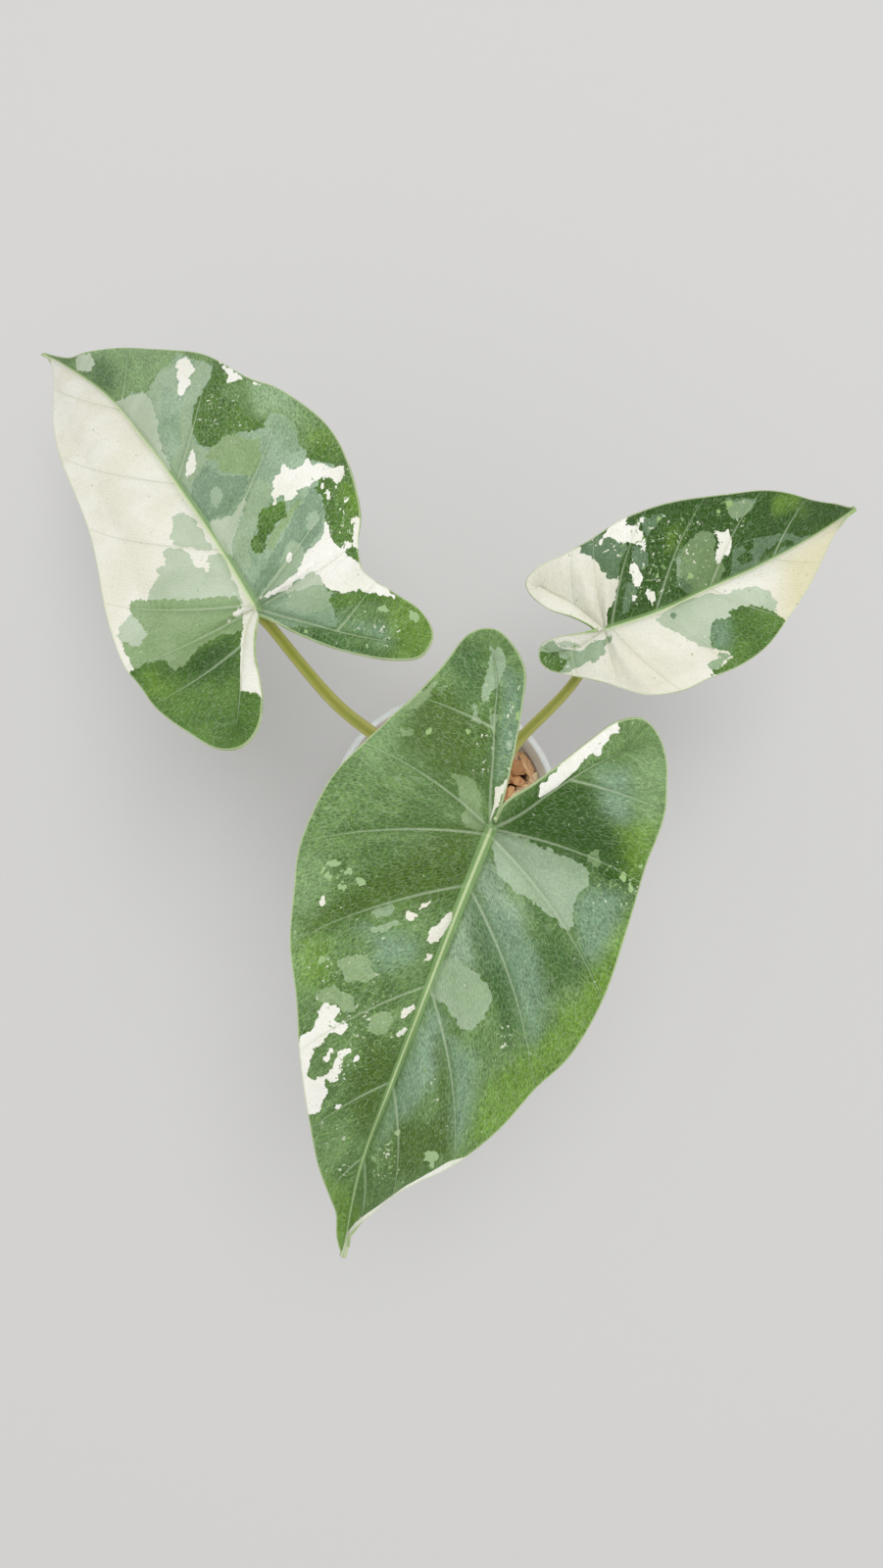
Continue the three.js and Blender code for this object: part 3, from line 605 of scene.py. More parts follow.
patches["glow"] = [
    [305, 955, 335, 960, 335, 1000, 305, 1010],
]
patches["fleck"] = [
    [492, 660, 514, 680, 534, 700, 530, 780, 512, 800, 486, 790, 478, 740, 490, 710],
    [320, 960, 390, 960, 420, 1060, 330, 1130],
    [330, 1140, 370, 1140, 366, 1220, 335, 1200],
]
print("front leaf, right half:", list(patches))

# %% Far left leaf, left half
patches = FAR_LEFT_LEAF["left_half_patches"] = {}
patches["cream"] = [
    EVERYWHERE,
]
patches["milk"] = [
    [176, 527, 185, 523, 193, 526, 200, 531, 209, 547, 218, 560, 209, 562, 191, 559, 178, 556,
     173, 549, 177, 534],
    [167, 564, 173, 560, 184, 559, 191, 563, 196, 571, 198, 578, 213, 583, 215, 578, 211, 573,
     214, 564, 228, 565, 248, 616, 150, 618, 154, 598, 162, 589, 160, 582, 169, 576],
    [122, 638, 131, 627, 143, 627, 150, 640, 157, 644, 153, 658, 142, 668, 127, 660, 120, 649],
]
patches["sage"] = [
    [134, 613, 191, 611, 242, 609, 246, 618, 250, 650, 229, 658, 212, 668, 199, 678, 190, 690,
     178, 694, 168, 690, 165, 684, 149, 686, 144, 696, 136, 680, 126, 664, 125, 654, 141, 661,
     151, 645, 145, 642, 142, 633, 134, 625, 131, 619],
]
patches["dark"] = [
    [145, 677, 170, 674, 171, 679, 178, 684, 187, 679, 193, 673, 195, 666, 227, 647, 238, 647,
     246, 645, 246, 664, 245, 682, 245, 705, 260, 706, 266, 711, 285, 740, 240, 790, 180, 775,
     120, 700],
]
patches["white"] = [
    [249, 627, 260, 624, 264, 627, 261, 638, 258, 654, 260, 674, 264, 691, 268, 712, 262, 705,
     258, 706, 247, 704, 245, 682, 246, 654, 248, 642],
    [234, 634, 242, 631, 251, 620, 244, 621, 237, 625],
]
# Soft tones from here on: painted shade, painted glow and painted sheen, partly the leaf's own
# tints.
patches["deep"] = [
    [190, 672, 200, 660, 245, 648, 244, 690, 225, 695, 200, 695, 160, 690],
]
patches["glow"] = [
    [147, 685, 165, 688, 173, 706, 152, 710],
]
patches["haze"] = [
    [205, 618, 240, 612, 246, 630, 225, 640, 208, 634],
]
print("far left leaf, left half:", list(patches))

# %% Far left leaf, right half
patches = FAR_LEFT_LEAF["right_half_patches"] = {}
patches["mist"] = [
    [110, 420, 124, 413, 134, 401, 151, 399, 157, 387, 163, 377, 174, 372, 180, 360, 216, 372,
     216, 384, 204, 404, 197, 430, 203, 452, 222, 450, 245, 440, 268, 436, 276, 420, 292, 424,
     304, 440, 306, 455, 322, 470, 345, 474, 335, 500, 332, 540, 345, 560, 335, 600, 345, 640,
     293, 640, 240, 640, 100, 420],
]
patches["milk"] = [
    [77, 363, 92, 361, 97, 372, 90, 380, 78, 378],
    [116, 410, 140, 402, 152, 401, 158, 414, 162, 436, 162, 450, 166, 461, 176, 480, 150, 480,
     110, 420],
    [214, 532, 230, 527, 240, 521, 249, 505, 253, 510, 244, 535, 237, 556, 240, 570, 228, 562,
     218, 545],
    [290, 604, 301, 594, 319, 581, 329, 587, 330, 597, 333, 603, 323, 597, 309, 603, 293, 607],
]
patches["mint"] = [
    [148, 400, 152, 398, 163, 377, 174, 373, 180, 379, 181, 393, 183, 407, 174, 396, 167, 394,
     164, 407, 166, 422, 160, 425, 154, 408],
    [200, 366, 214, 374, 216, 383, 209, 391, 207, 400, 200, 407, 196, 414, 194, 426, 197, 436,
     197, 447, 203, 453, 194, 454, 184, 450, 186, 436, 184, 421, 186, 409, 193, 397, 197, 379],
    [184, 450, 197, 454, 213, 459, 214, 464, 203, 483, 196, 493, 193, 501, 177, 484, 174, 474,
     180, 461],
    [296, 551, 307, 554, 313, 564, 304, 583, 294, 591, 280, 599, 267, 609, 277, 593, 286, 579,
     291, 564],
    [271, 491, 279, 497, 276, 509, 263, 527, 261, 539, 256, 551, 254, 573, 250, 591, 239, 569,
     236, 557, 241, 543, 249, 523, 253, 506, 256, 490],
    [293, 606, 311, 601, 319, 597, 330, 598, 333, 603, 356, 605, 341, 606, 337, 611, 336, 619,
     327, 623, 313, 626, 299, 623, 293, 616],
]
patches["sage"] = [
    [216, 454, 226, 446, 239, 442, 252, 446, 264, 448, 266, 461, 263, 475, 256, 486, 242, 484,
     228, 483, 221, 472, 210, 466],
    [313, 504, 304, 509, 293, 521, 280, 539, 274, 547, 271, 564, 279, 560, 287, 544, 297, 530,
     307, 513],
]
patches["grey"] = [
    [213, 474, 223, 484, 239, 486, 251, 484, 253, 490, 244, 511, 230, 526, 221, 526, 214, 531,
     203, 519, 194, 504, 197, 493, 204, 483],
    [316, 499, 321, 497, 329, 509, 330, 537, 329, 543, 321, 549, 319, 557, 313, 564, 307, 556,
     296, 551, 291, 561, 284, 579, 276, 591, 269, 599, 264, 609, 259, 604, 260, 594, 271, 576,
     283, 557, 293, 539, 301, 521, 310, 511],
]
patches["dark"] = [
    [216, 379, 229, 380, 230, 389, 224, 396, 229, 407, 243, 411, 246, 421, 256, 427, 266, 429,
     269, 436, 256, 439, 240, 441, 227, 444, 221, 454, 211, 457, 201, 453, 197, 439, 196, 427,
     199, 413, 209, 397, 214, 391],
    [327, 487, 336, 486, 344, 495, 353, 493, 363, 497, 372, 513, 370, 526, 361, 529, 360, 553,
     370, 579, 353, 564, 350, 557, 341, 554, 337, 539, 333, 526, 329, 509, 321, 497],
    [291, 517, 293, 521, 280, 539, 274, 547, 271, 563, 257, 564, 256, 553, 263, 539, 263, 529,
     269, 519, 279, 513, 290, 510],
    [313, 457, 330, 453, 349, 457, 352, 468, 340, 473, 313, 468],
    [337, 611, 341, 606, 356, 606, 369, 601, 387, 608, 401, 610, 393, 614, 376, 614, 359, 617,
     341, 621],
]
patches["fresh"] = [
    [384, 620, 393, 619, 399, 623, 396, 626, 389, 625],
    [419, 624, 427, 626, 429, 633, 423, 636, 415, 630],
    [370, 625, 374, 626, 372, 630],
    [386, 641, 389, 642, 387, 645],
    [310, 642, 314, 643, 312, 646],
    [372, 656, 377, 657, 374, 661],
    [409, 664, 414, 666, 410, 669],
]
patches["pearl"] = [
    [214, 498, 224, 497, 228, 504, 225, 511, 221, 521, 216, 511],
    [316, 523, 324, 521, 327, 529, 323, 539, 314, 540, 313, 531],
]
patches["white"] = [
    [180, 371, 183, 366, 193, 366, 199, 377, 194, 384, 193, 391, 184, 410, 181, 387],
    [189, 479, 194, 461, 199, 459, 201, 473, 197, 483, 191, 487],
    [223, 369, 239, 377, 253, 386, 266, 393, 246, 386, 233, 391, 231, 384, 233, 381],
    [277, 490, 284, 483, 289, 470, 291, 475, 296, 479, 310, 473, 313, 469, 316, 472, 331, 474,
     340, 479, 344, 476, 349, 475, 353, 483, 344, 495, 336, 486, 330, 485, 324, 489, 319, 496,
     306, 499, 294, 513, 290, 511, 288, 503, 286, 504, 280, 517, 277, 506, 280, 497],
    [264, 611, 273, 603, 290, 596, 304, 581, 310, 566, 316, 563, 329, 547, 332, 540, 329, 526,
     331, 526, 337, 546, 341, 554, 347, 557, 354, 566, 369, 577, 376, 583, 387, 594, 403, 609,
     386, 607, 373, 603, 367, 603, 359, 606, 344, 604, 333, 601, 327, 587, 319, 581, 301, 594,
     291, 603, 273, 610],
    [361, 529, 370, 529, 370, 557, 364, 561, 360, 553, 361, 541],
    [350, 553, 354, 552, 359, 554, 359, 560, 354, 561, 353, 557],
    [291, 567, 296, 566, 298, 570, 293, 574],
    [330, 500, 337, 503, 343, 503, 341, 508, 333, 509],
    [327, 492, 330, 494, 328, 497],
    [344, 517, 347, 518, 346, 522],
    [350, 521, 353, 523, 351, 526],
    [357, 529, 360, 531, 358, 535],
    [337, 537, 340, 539, 338, 542],
    [347, 541, 350, 543, 348, 545],
    [354, 540, 357, 543, 355, 546],
    [351, 508, 354, 509, 353, 512],
]
# Soft tones from here on: painted sheen, painted shade and painted glow, partly the leaf's own
# tints.
patches["teal"] = [
    [293, 630, 340, 628, 400, 640, 402, 658, 373, 649, 336, 638],
]
patches["shade"] = [
    [262, 622, 295, 634, 336, 645, 373, 656, 395, 680, 300, 660],
    [92, 366, 114, 364, 120, 380, 116, 396, 98, 396],
]
patches["ash"] = [
    [256, 392, 278, 392, 302, 404, 300, 426, 268, 420, 258, 408],
]
patches["haze"] = [
    [252, 390, 270, 390, 300, 398, 322, 425, 318, 442, 290, 436, 266, 426, 252, 410],
    [84, 350, 150, 345, 190, 350, 184, 372, 160, 384, 146, 402, 122, 414, 110, 392, 92, 372],
]
patches["glow"] = [
    [393, 610, 445, 612, 448, 675, 402, 673],
    [316, 438, 334, 440, 336, 454, 318, 453],
    [350, 495, 368, 499, 370, 523, 352, 522],
]
patches["fleck"] = [
    [330, 490, 365, 505, 365, 570, 330, 540],
    [315, 440, 345, 440, 355, 475, 310, 465],
    [350, 620, 420, 630, 420, 668, 340, 655],
    [200, 390, 240, 400, 262, 440, 200, 455],
]
print("far left leaf, right half:", list(patches))

# %% Far right leaf, left half
patches = FAR_RIGHT_LEAF["left_half_patches"] = {}
patches["mist"] = [
    [690, 562, 706, 548, 714, 540, 729, 543, 729, 562, 740, 578, 735, 592, 706, 606, 690, 600],
    [738, 508, 774, 508, 768, 522, 748, 533],
]
patches["cream"] = [
    [500, 560, 560, 530, 595, 561, 600, 561, 614, 569, 617, 574, 622, 577, 626, 585, 632, 587,
     632, 595, 629, 601, 629, 611, 625, 619, 620, 623, 620, 635, 618, 641, 590, 660, 500, 650],
]
patches["mint"] = [
    [740, 515, 751, 511, 762, 510, 772, 512, 767, 520, 759, 527, 748, 531, 743, 524],
    [690, 568, 705, 567, 706, 588, 692, 590],
]
patches["sage"] = [
    [695, 558, 706, 548, 714, 540, 723, 542, 729, 546, 729, 562, 731, 575, 739, 575, 740, 580,
     735, 591, 722, 599, 703, 607, 706, 599, 695, 588],
]
patches["grey"] = [
    [590, 566, 596, 554, 612, 546, 622, 547, 629, 550, 632, 554, 639, 555, 640, 557, 632, 577,
     632, 590, 620, 590, 610, 575, 600, 566],
    [645, 557, 655, 559, 660, 564, 664, 572, 660, 580, 656, 582, 646, 572, 644, 566],
    [640, 594, 647, 597, 651, 602, 645, 617, 641, 625, 635, 627, 636, 610],
    [652, 528, 680, 524, 680, 545, 660, 548],
    [748, 559, 759, 552, 770, 548, 788, 546, 796, 543, 807, 544, 815, 548, 840, 542, 800, 580,
     755, 600, 744, 588, 747, 575],
]
patches["dark"] = [
    [642, 556, 635, 575, 632, 585, 632, 595, 629, 602, 629, 612, 620, 624, 620, 636, 630, 632,
     635, 615, 637, 597, 641, 580, 644, 562],
    [660, 548, 700, 500, 740, 490, 740, 515, 743, 524, 736, 545, 714, 540, 706, 548, 695, 558,
     688, 570, 690, 600, 650, 640, 644, 620, 651, 602, 646, 590, 656, 582, 664, 572],
    [772, 512, 780, 490, 890, 490, 890, 520, 835, 545, 815, 548, 807, 544, 796, 543, 788, 546,
     770, 548, 759, 552, 748, 559, 744, 541, 748, 531, 759, 527, 767, 520],
    [757, 556, 766, 552, 772, 556, 765, 564, 770, 568, 758, 576, 753, 570, 760, 562],
    [782, 560, 795, 552, 808, 551, 812, 555, 798, 560, 790, 567, 776, 573, 774, 568],
]
patches["fresh"] = [
    [671, 526, 675, 528, 674, 532, 669, 531],
    [672, 584, 674, 588, 671, 591, 670, 588],
    [739, 512, 746, 510, 748, 516, 741, 522],
    [700, 586, 706, 585, 707, 590, 701, 593],
    [757, 531, 760, 530, 759, 535],
    [666, 556, 669, 557, 667, 561],
    [733, 520, 736, 522, 734, 527],
]
patches["white"] = [
    [615, 546, 637, 526, 640, 533, 636, 536, 647, 536, 657, 528, 652, 536, 651, 541, 656, 543,
     657, 550, 660, 556, 660, 560, 658, 562, 654, 552, 652, 556, 647, 551, 644, 555, 632, 553,
     622, 547],
    [610, 554, 616, 548, 617, 549, 612, 555],
    [646, 574, 656, 585, 656, 592, 650, 601, 643, 585, 642, 579],
    [645, 609, 648, 607, 648, 610, 646, 615, 644, 613],
    [662, 599, 665, 603, 668, 604, 668, 612, 666, 618, 658, 606, 659, 602],
    [729, 544, 736, 544, 741, 540, 744, 541, 746, 548, 746, 558, 743, 566, 738, 568, 735, 574,
     732, 576, 729, 562, 734, 555, 733, 548],
]
# Soft tones from here on: a deeper green over the whole half, mostly its own colour, then painted
# shade and glow.
patches["deep"] = [
    EVERYWHERE,
]
patches["shade"] = [
    [690, 590, 706, 592, 704, 606, 690, 608],
]
patches["glow"] = [
    [680, 538, 692, 538, 692, 558, 680, 562],
    [788, 505, 818, 503, 820, 522, 794, 524],
]
patches["fleck"] = [
    [640, 530, 720, 520, 720, 600, 640, 620],
    [730, 505, 765, 505, 765, 545, 730, 540],
    [600, 545, 660, 545, 650, 580, 610, 570],
]
print("far right leaf, left half:", list(patches))

# %% Far right leaf, right half
patches = FAR_RIGHT_LEAF["right_half_patches"] = {}
patches["cream"] = [
    EVERYWHERE,
]
patches["butter"] = [
    [800, 570, 870, 515, 890, 530, 850, 600, 800, 655, 798, 610],
]
patches["milk"] = [
    [670, 632, 679, 624, 695, 615, 705, 611, 722, 606, 739, 605, 762, 600, 770, 598, 784, 602,
     788, 611, 794, 612, 794, 617, 791, 623, 745, 665, 727, 662, 715, 659, 695, 648, 676, 637],
    [565, 655, 582, 654, 590, 657, 594, 661, 582, 660, 572, 660, 569, 657],
]
patches["mint"] = [
    [564, 653, 560, 654, 552, 661, 548, 669, 549, 675, 562, 686, 571, 688, 580, 686, 587, 681,
     606, 675, 620, 665, 617, 661, 626, 652, 624, 649, 602, 657, 594, 664, 572, 662],
    [722, 678, 726, 674, 735, 670, 732, 666, 744, 666, 746, 670, 739, 675, 735, 682, 725, 684],
]
patches["grey"] = [
    [684, 625, 690, 625, 691, 629, 685, 630],
]
patches["dark"] = [
    [744, 624, 758, 617, 780, 620, 794, 626, 796, 630, 801, 633, 801, 643, 786, 659, 776, 670,
     765, 678, 754, 685, 742, 690, 724, 690, 726, 683, 735, 682, 739, 675, 747, 670, 744, 666,
     735, 664, 727, 659, 723, 643, 724, 636, 728, 633, 746, 628, 743, 625],
    [550, 667, 570, 665, 571, 671, 580, 672, 579, 677, 574, 681, 572, 687, 562, 686, 551, 677],
]
# Soft tone: painted sheen.
patches["teal"] = [
    [720, 634, 742, 631, 748, 648, 744, 664, 728, 660],
]
patches["fleck"] = [
    [550, 655, 590, 655, 585, 690, 550, 690],
]
print("far right leaf, right half:", list(patches))

# %% [markdown]
# ## Distances instead of pictures
#
# A painted image would be one way to carry the patches. A distance field is lighter and stays
# sharp: each corner of the mesh only knows how far it is inside or outside the nearest patch
# of a tone. The material turns that number into an edge as crisp or as ragged as it likes.
# The same idea gives the lines of the veins and of the margin.

# %% Distance helpers
def line_distance(points, line, closed=False):
    """The distance from each point to the nearest spot of a line of straight pieces."""
    line = np.asarray(line, float)
    starts = line if closed else line[:-1]
    ends = np.roll(line, -1, axis=0) if closed else line[1:]
    nearest = np.full(len(points), 1e9)
    for start, end in zip(starts, ends):
        step = end - start
        reach = max(float(step @ step), 1e-12)
        share = np.clip(((points - start) @ step) / reach, 0, 1)[:, None]
        nearest = np.minimum(nearest, np.linalg.norm(points - start - share * step, axis=1))
    return nearest


def patch_depth(points, outline):
    """How deep each point lies inside an outline. It is below zero outside."""
    inside = np.zeros(len(points), bool)
    corners = np.reshape(np.asarray(outline, float), (-1, 2))
    for (x0, y0), (x1, y1) in zip(corners, np.roll(corners, -1, axis=0)):
        if y0 == y1:
            continue
        crosses = (points[:, 1] < y0) != (points[:, 1] < y1)
        meets = x0 + (points[:, 1] - y0) * (x1 - x0) / (y1 - y0)
        inside ^= crosses & (points[:, 0] < meets)
    depth = line_distance(points, corners, closed=True)
    return np.where(inside, depth, -depth)


square = [0, 0, 10, 0, 10, 10, 0, 10]
print("depth of (5, 5) and (5, 13):", patch_depth(np.array([(5.0, 5.0), (5.0, 13.0)]), square))

# %% [markdown]
# ## Mesh of a blade and its numbers
#
# The sheet becomes a mesh, is turned to its heading and lifted to its joint. Then every corner
# gets its numbers: the depth in each kind of patch, and the distances to the ribs, to the side
# veins and to the margin. A rib and a vein get thinner on their way out, so their distances
# are divided by their own half width: one is always the edge of the line. The tip is drawn
# back and the face sunk by a hair, so that the finer blade stays inside the solid model's box.

# %% Numbers on corners
def corner_numbers(mesh, key):
    """Reads one number per corner of a mesh."""
    values = np.zeros(len(mesh.vertices), np.float32)
    mesh.attributes[key].data.foreach_get("value", values)
    return values.astype(float)


def write_numbers(mesh, key, values):
    """Writes one number per corner of a mesh."""
    layer = mesh.attributes.get(key) or mesh.attributes.new(key, "FLOAT", "POINT")
    layer.data.foreach_set("value", np.asarray(values, np.float32))


def corner_places(mesh):
    """The corners of a mesh, in mm."""
    flat = np.zeros(len(mesh.vertices) * 3, np.float32)
    mesh.vertices.foreach_get("co", flat)
    return flat.reshape(-1, 3).astype(float) / MM


print("numbers that a sheet carries:", CARRIED)

# %% Depths in the patches
TONES = ["mist", "cream", "milk", "mint", "sage", "grey", "dark", "fresh", "pearl", "white",
         "border", "ash", "teal", "haze", "olive", "shade", "deep", "glow", "butter", "fleck"]
FAR_AWAY = -50.0


def tone_depths(leaf, seen, scale, middle):
    """The depth of each corner in the patches of every tone, in mm."""
    depths = {tone: np.full(len(seen), FAR_AWAY) for tone in TONES}
    halves = {"patches": None, "left_half_patches": middle, "right_half_patches": -middle}
    for key, side in halves.items():
        for tone, outlines in leaf.get(key, {}).items():
            for outline in outlines:
                depth = patch_depth(seen, outline) * scale
                if side is not None:
                    depth = np.minimum(depth, side)
                depths[tone] = np.maximum(depths[tone], depth)
    return depths


print("kinds of patch:", len(TONES))

# %% Distances to ribs and veins
LINE_STEPS = 161
NO_LINE = 99.0
MIDRIB_HALF_WIDTH_SHARE = 0.0056
MIDRIB_THINNING = 0.8
LOBE_RIB_HALF_WIDTH = 0.65
LOBE_RIB_THINNING = 0.85
VEIN_HALF_WIDTH = 0.55
VEIN_THINNING = 0.75


def side_line_distances(leaf, plan, fraction, places):
    """How far corners lie from the lobe ribs and side veins, in half widths, and the margin."""
    vein = np.full(len(plan), NO_LINE)
    margin = np.full(len(plan), NO_LINE)
    for side, surface in leaf["surface"].items():
        lobe_rib = smooth_line(leaf[side]["lobe_rib"], places)
        reach = np.linalg.norm(lobe_rib[-1])
        way_out = np.clip(np.linalg.norm(plan, axis=1) / reach, 0, 1)
        half_width = LOBE_RIB_HALF_WIDTH * (1 - LOBE_RIB_THINNING * way_out)
        vein = np.minimum(vein, line_distance(plan, lobe_rib) / half_width)
        half_width = VEIN_HALF_WIDTH * (1 - VEIN_THINNING * np.clip(fraction, 0, 1))
        for path in surface["veins"]:
            vein = np.minimum(vein, line_distance(plan, path) / half_width)
        margin = np.minimum(margin, line_distance(plan, surface["margin"]))
    return vein, margin


print("a side vein is", 2 * VEIN_HALF_WIDTH, "mm wide at its rib")

# %% Blade mesh
VEIN_GROOVE = 0.22
RIB_GROOVE = 0.4
VEIN_RIDGE = 0.3
BLADE_THICKNESS = 0.8
RIB_DEPTH = 1.7
RIB_HALF_WIDTH = 2.4
RIB_FADE = 0.85
TIP_TRIM = 0.9
TIP_SHARE = 0.1
SINK = 0.02


def placed_corners(leaf, mesh, plan, length):
    """Turns and lifts a blade to its joint, and draws its tip back a little."""
    heading = Matrix.Rotation(math.radians(leaf["heading"]), 4, "Z")
    mesh.transform(Matrix.Translation(Vector(leaf["joint"]) * MM) @ heading)
    placed = corner_places(mesh)
    near_tip = np.clip((plan[:, 0] / length - 1) / TIP_SHARE + 1, 0, 1)
    ahead = math.radians(leaf["heading"])
    placed[:, :2] -= TIP_TRIM * near_tip[:, None] * [math.cos(ahead), math.sin(ahead)]
    return placed


def blade_mesh(leaf):
    """The mesh of a blade, in place, with the numbers that its finish reads."""
    mesh = mesh_of(leaf["sheet"], "blade_" + leaf["name"])
    plan = corner_places(mesh)[:, :2]
    fraction = corner_numbers(mesh, "fraction")
    at = corner_numbers(mesh, "at")
    turn = corner_numbers(mesh, "turn")
    places = np.linspace(0, 1, LINE_STEPS)
    midrib = smooth_line(leaf["midrib"], places)
    to_midrib = line_distance(plan, midrib)
    length = midrib[-1][0]
    thinning = 1 - MIDRIB_THINNING * np.clip(plan[:, 0] / length, 0, 1)
    rib = to_midrib / (MIDRIB_HALF_WIDTH_SHARE * length * thinning)
    vein, margin = side_line_distances(leaf, plan, fraction, places)
    placed = placed_corners(leaf, mesh, plan, length)
    seen = picture_points(placed)
    scale = (CAMERA_PLACE[2] - placed[:, 2]) / FOCAL_PIXELS
    for tone, depth in tone_depths(leaf, seen, scale, turn * to_midrib).items():
        write_numbers(mesh, tone, depth)
    fine_grooves = VEIN_GROOVE * np.exp(-vein ** 2 / 2) * np.clip(3 * (1 - fraction), 0, 1)
    rib_groove = RIB_GROOVE * np.exp(-rib ** 2 / 2)
    placed[:, 2] -= np.maximum(fine_grooves, rib_groove) + SINK
    mesh.vertices.foreach_set("co", (placed * MM).astype(np.float32).ravel())
    off_rib = fraction * corner_numbers(mesh, "width")
    keel = RIB_DEPTH * (1 - RIB_FADE * at) * np.clip(1 - off_rib / RIB_HALF_WIDTH, 0, 1)
    ridge = VEIN_RIDGE * np.exp(-vein ** 2 / 4) * (1 - fraction)
    write_numbers(mesh, "rib", rib)
    write_numbers(mesh, "vein", vein)
    write_numbers(mesh, "margin", margin)
    leaf["depth"] = BLADE_THICKNESS + np.maximum(keel, ridge)
    mesh.update()
    return mesh


for leaf in LEAVES:
    leaf["mesh"] = blade_mesh(leaf)
    covered = [tone for tone in TONES if corner_numbers(leaf["mesh"], tone).max() > 0]
    print(leaf["name"], len(leaf["mesh"].vertices), "corners, with", ", ".join(covered))

# %% [markdown]
# ## Small helpers for node materials
#
# A material is a chain of nodes. The helpers below each add one node and hand back the socket
# that the next one plugs into, so a material reads from the first layer of paint to the last.
# Colours are named by their eight-bit values and turned into the linear values nodes expect.

# %% Colours and materials
def paint_colour(red, green, blue):
    """A colour from 0-255 screen values, as linear red, green, blue and alpha."""
    shares = [value / 255 for value in (red, green, blue)]
    linear = [s / 12.92 if s <= 0.04045 else ((s + 0.055) / 1.055) ** 2.4 for s in shares]
    return (*linear, 1.0)


def new_material(name, roughness):
    """A material with a Principled shader, its node tree and the shader."""
    material = bpy.data.materials.new(name)
    material.use_nodes = True
    shader = material.node_tree.nodes["Principled BSDF"]
    shader.inputs["Roughness"].default_value = roughness
    return material, material.node_tree, shader


def plug(tree, socket, value):
    """Links a socket to another node's output, or sets its value."""
    if isinstance(value, bpy.types.NodeSocket):
        tree.links.new(value, socket)
    else:
        socket.default_value = value


print("middle grey in linear light:", round(paint_colour(128, 128, 128)[0], 3))


# %% Numbers in a material
def number_of(tree, key):
    """The number that a mesh carries under a name."""
    node = tree.nodes.new("ShaderNodeAttribute")
    node.attribute_name = key
    return node.outputs["Fac"]


def calculate(tree, operation, first, second=0.0):
    """One sum, product or comparison of two values."""
    node = tree.nodes.new("ShaderNodeMath")
    node.operation = operation
    plug(tree, node.inputs[0], first)
    plug(tree, node.inputs[1], second)
    return node.outputs[0]


def ramp(tree, value, start, end, top=1.0):
    """A smooth step from 0 at "start" to "top" at "end"."""
    node = tree.nodes.new("ShaderNodeMapRange")
    node.interpolation_type = "SMOOTHSTEP"
    plug(tree, node.inputs["Value"], value)
    node.inputs["From Min"].default_value = start
    node.inputs["From Max"].default_value = end
    node.inputs["To Max"].default_value = top
    return node.outputs["Result"]


def paint(tree, under, over, share):
    """One colour laid over another, as opaque as "share" says."""
    node = tree.nodes.new("ShaderNodeMix")
    node.data_type = "RGBA"
    plug(tree, node.inputs[0], share)
    plug(tree, node.inputs[6], under)
    plug(tree, node.inputs[7], over)
    return node.outputs[2]


helpers = [plug, number_of, calculate, ramp, paint]
print("helpers for numbers:", [helper.__name__ for helper in helpers])


# %% Patterns and relief
def stretched(tree, vector, scale):
    """Coordinates multiplied by one number along each direction."""
    node = tree.nodes.new("ShaderNodeMapping")
    tree.links.new(vector, node.inputs["Vector"])
    node.inputs["Scale"].default_value = scale
    return node.outputs["Vector"]


def cloud(tree, vector, scale, detail=2.0, shift=0.0):
    """A soft noise from 0 to 1. "shift" gives another one of the same kind."""
    node = tree.nodes.new("ShaderNodeTexNoise")
    node.noise_dimensions = "4D"
    tree.links.new(vector, node.inputs["Vector"])
    node.inputs["W"].default_value = shift
    node.inputs["Scale"].default_value = scale
    node.inputs["Detail"].default_value = detail
    return node.outputs["Fac"]


def cells(tree, vector, scale, feature="F1"):
    """A pattern of cells, by the distance to their centres or to their edges."""
    node = tree.nodes.new("ShaderNodeTexVoronoi")
    node.feature = feature
    tree.links.new(vector, node.inputs["Vector"])
    node.inputs["Scale"].default_value = scale
    return node


def object_places(tree):
    """Coordinates of the piece in the plant's own frame, in metres."""
    return tree.nodes.new("ShaderNodeTexCoord").outputs["Object"]


def mapped_places(tree, uv_name):
    """Coordinates that follow the surface."""
    node = tree.nodes.new("ShaderNodeUVMap")
    node.uv_map = uv_name
    return node.outputs["UV"]


def relief(tree, shader, height, depth_mm, strength):
    """Fine relief of a surface, as a bump of that depth."""
    node = tree.nodes.new("ShaderNodeBump")
    node.inputs["Distance"].default_value = depth_mm * MM
    node.inputs["Strength"].default_value = strength
    tree.links.new(height, node.inputs["Height"])
    tree.links.new(node.outputs["Normal"], shader.inputs["Normal"])


helpers = [stretched, cloud, cells, object_places, mapped_places, relief]
print("helpers for patterns:", [helper.__name__ for helper in helpers])

# %% [markdown]
# ## Leaf finish
#
# The upper face is a satin green that changes slowly over the blade, with a finer marbling
# that runs along the veins, as the cells do. The sharp patches are laid on it one by one, with
# edges that two sizes of noise make a little uneven, except right at the midrib, where tissue
# ends cleanly. Each of them also says how opaque it is, because the soft tones come next and
# show through the darker patches, but not through the pale ones. The soft tones are mostly
# painted light and shade: sheen on lit slopes, shade in hollows and light shining through, partly
# mixed with the leaf's own tints. Specks, the fine net of veins, painted shade along the side
# veins and a painted shadow beside the midrib, the pale vein lines and a thin pale margin come
# last. The under face has the same patches under a paler, duller skin.

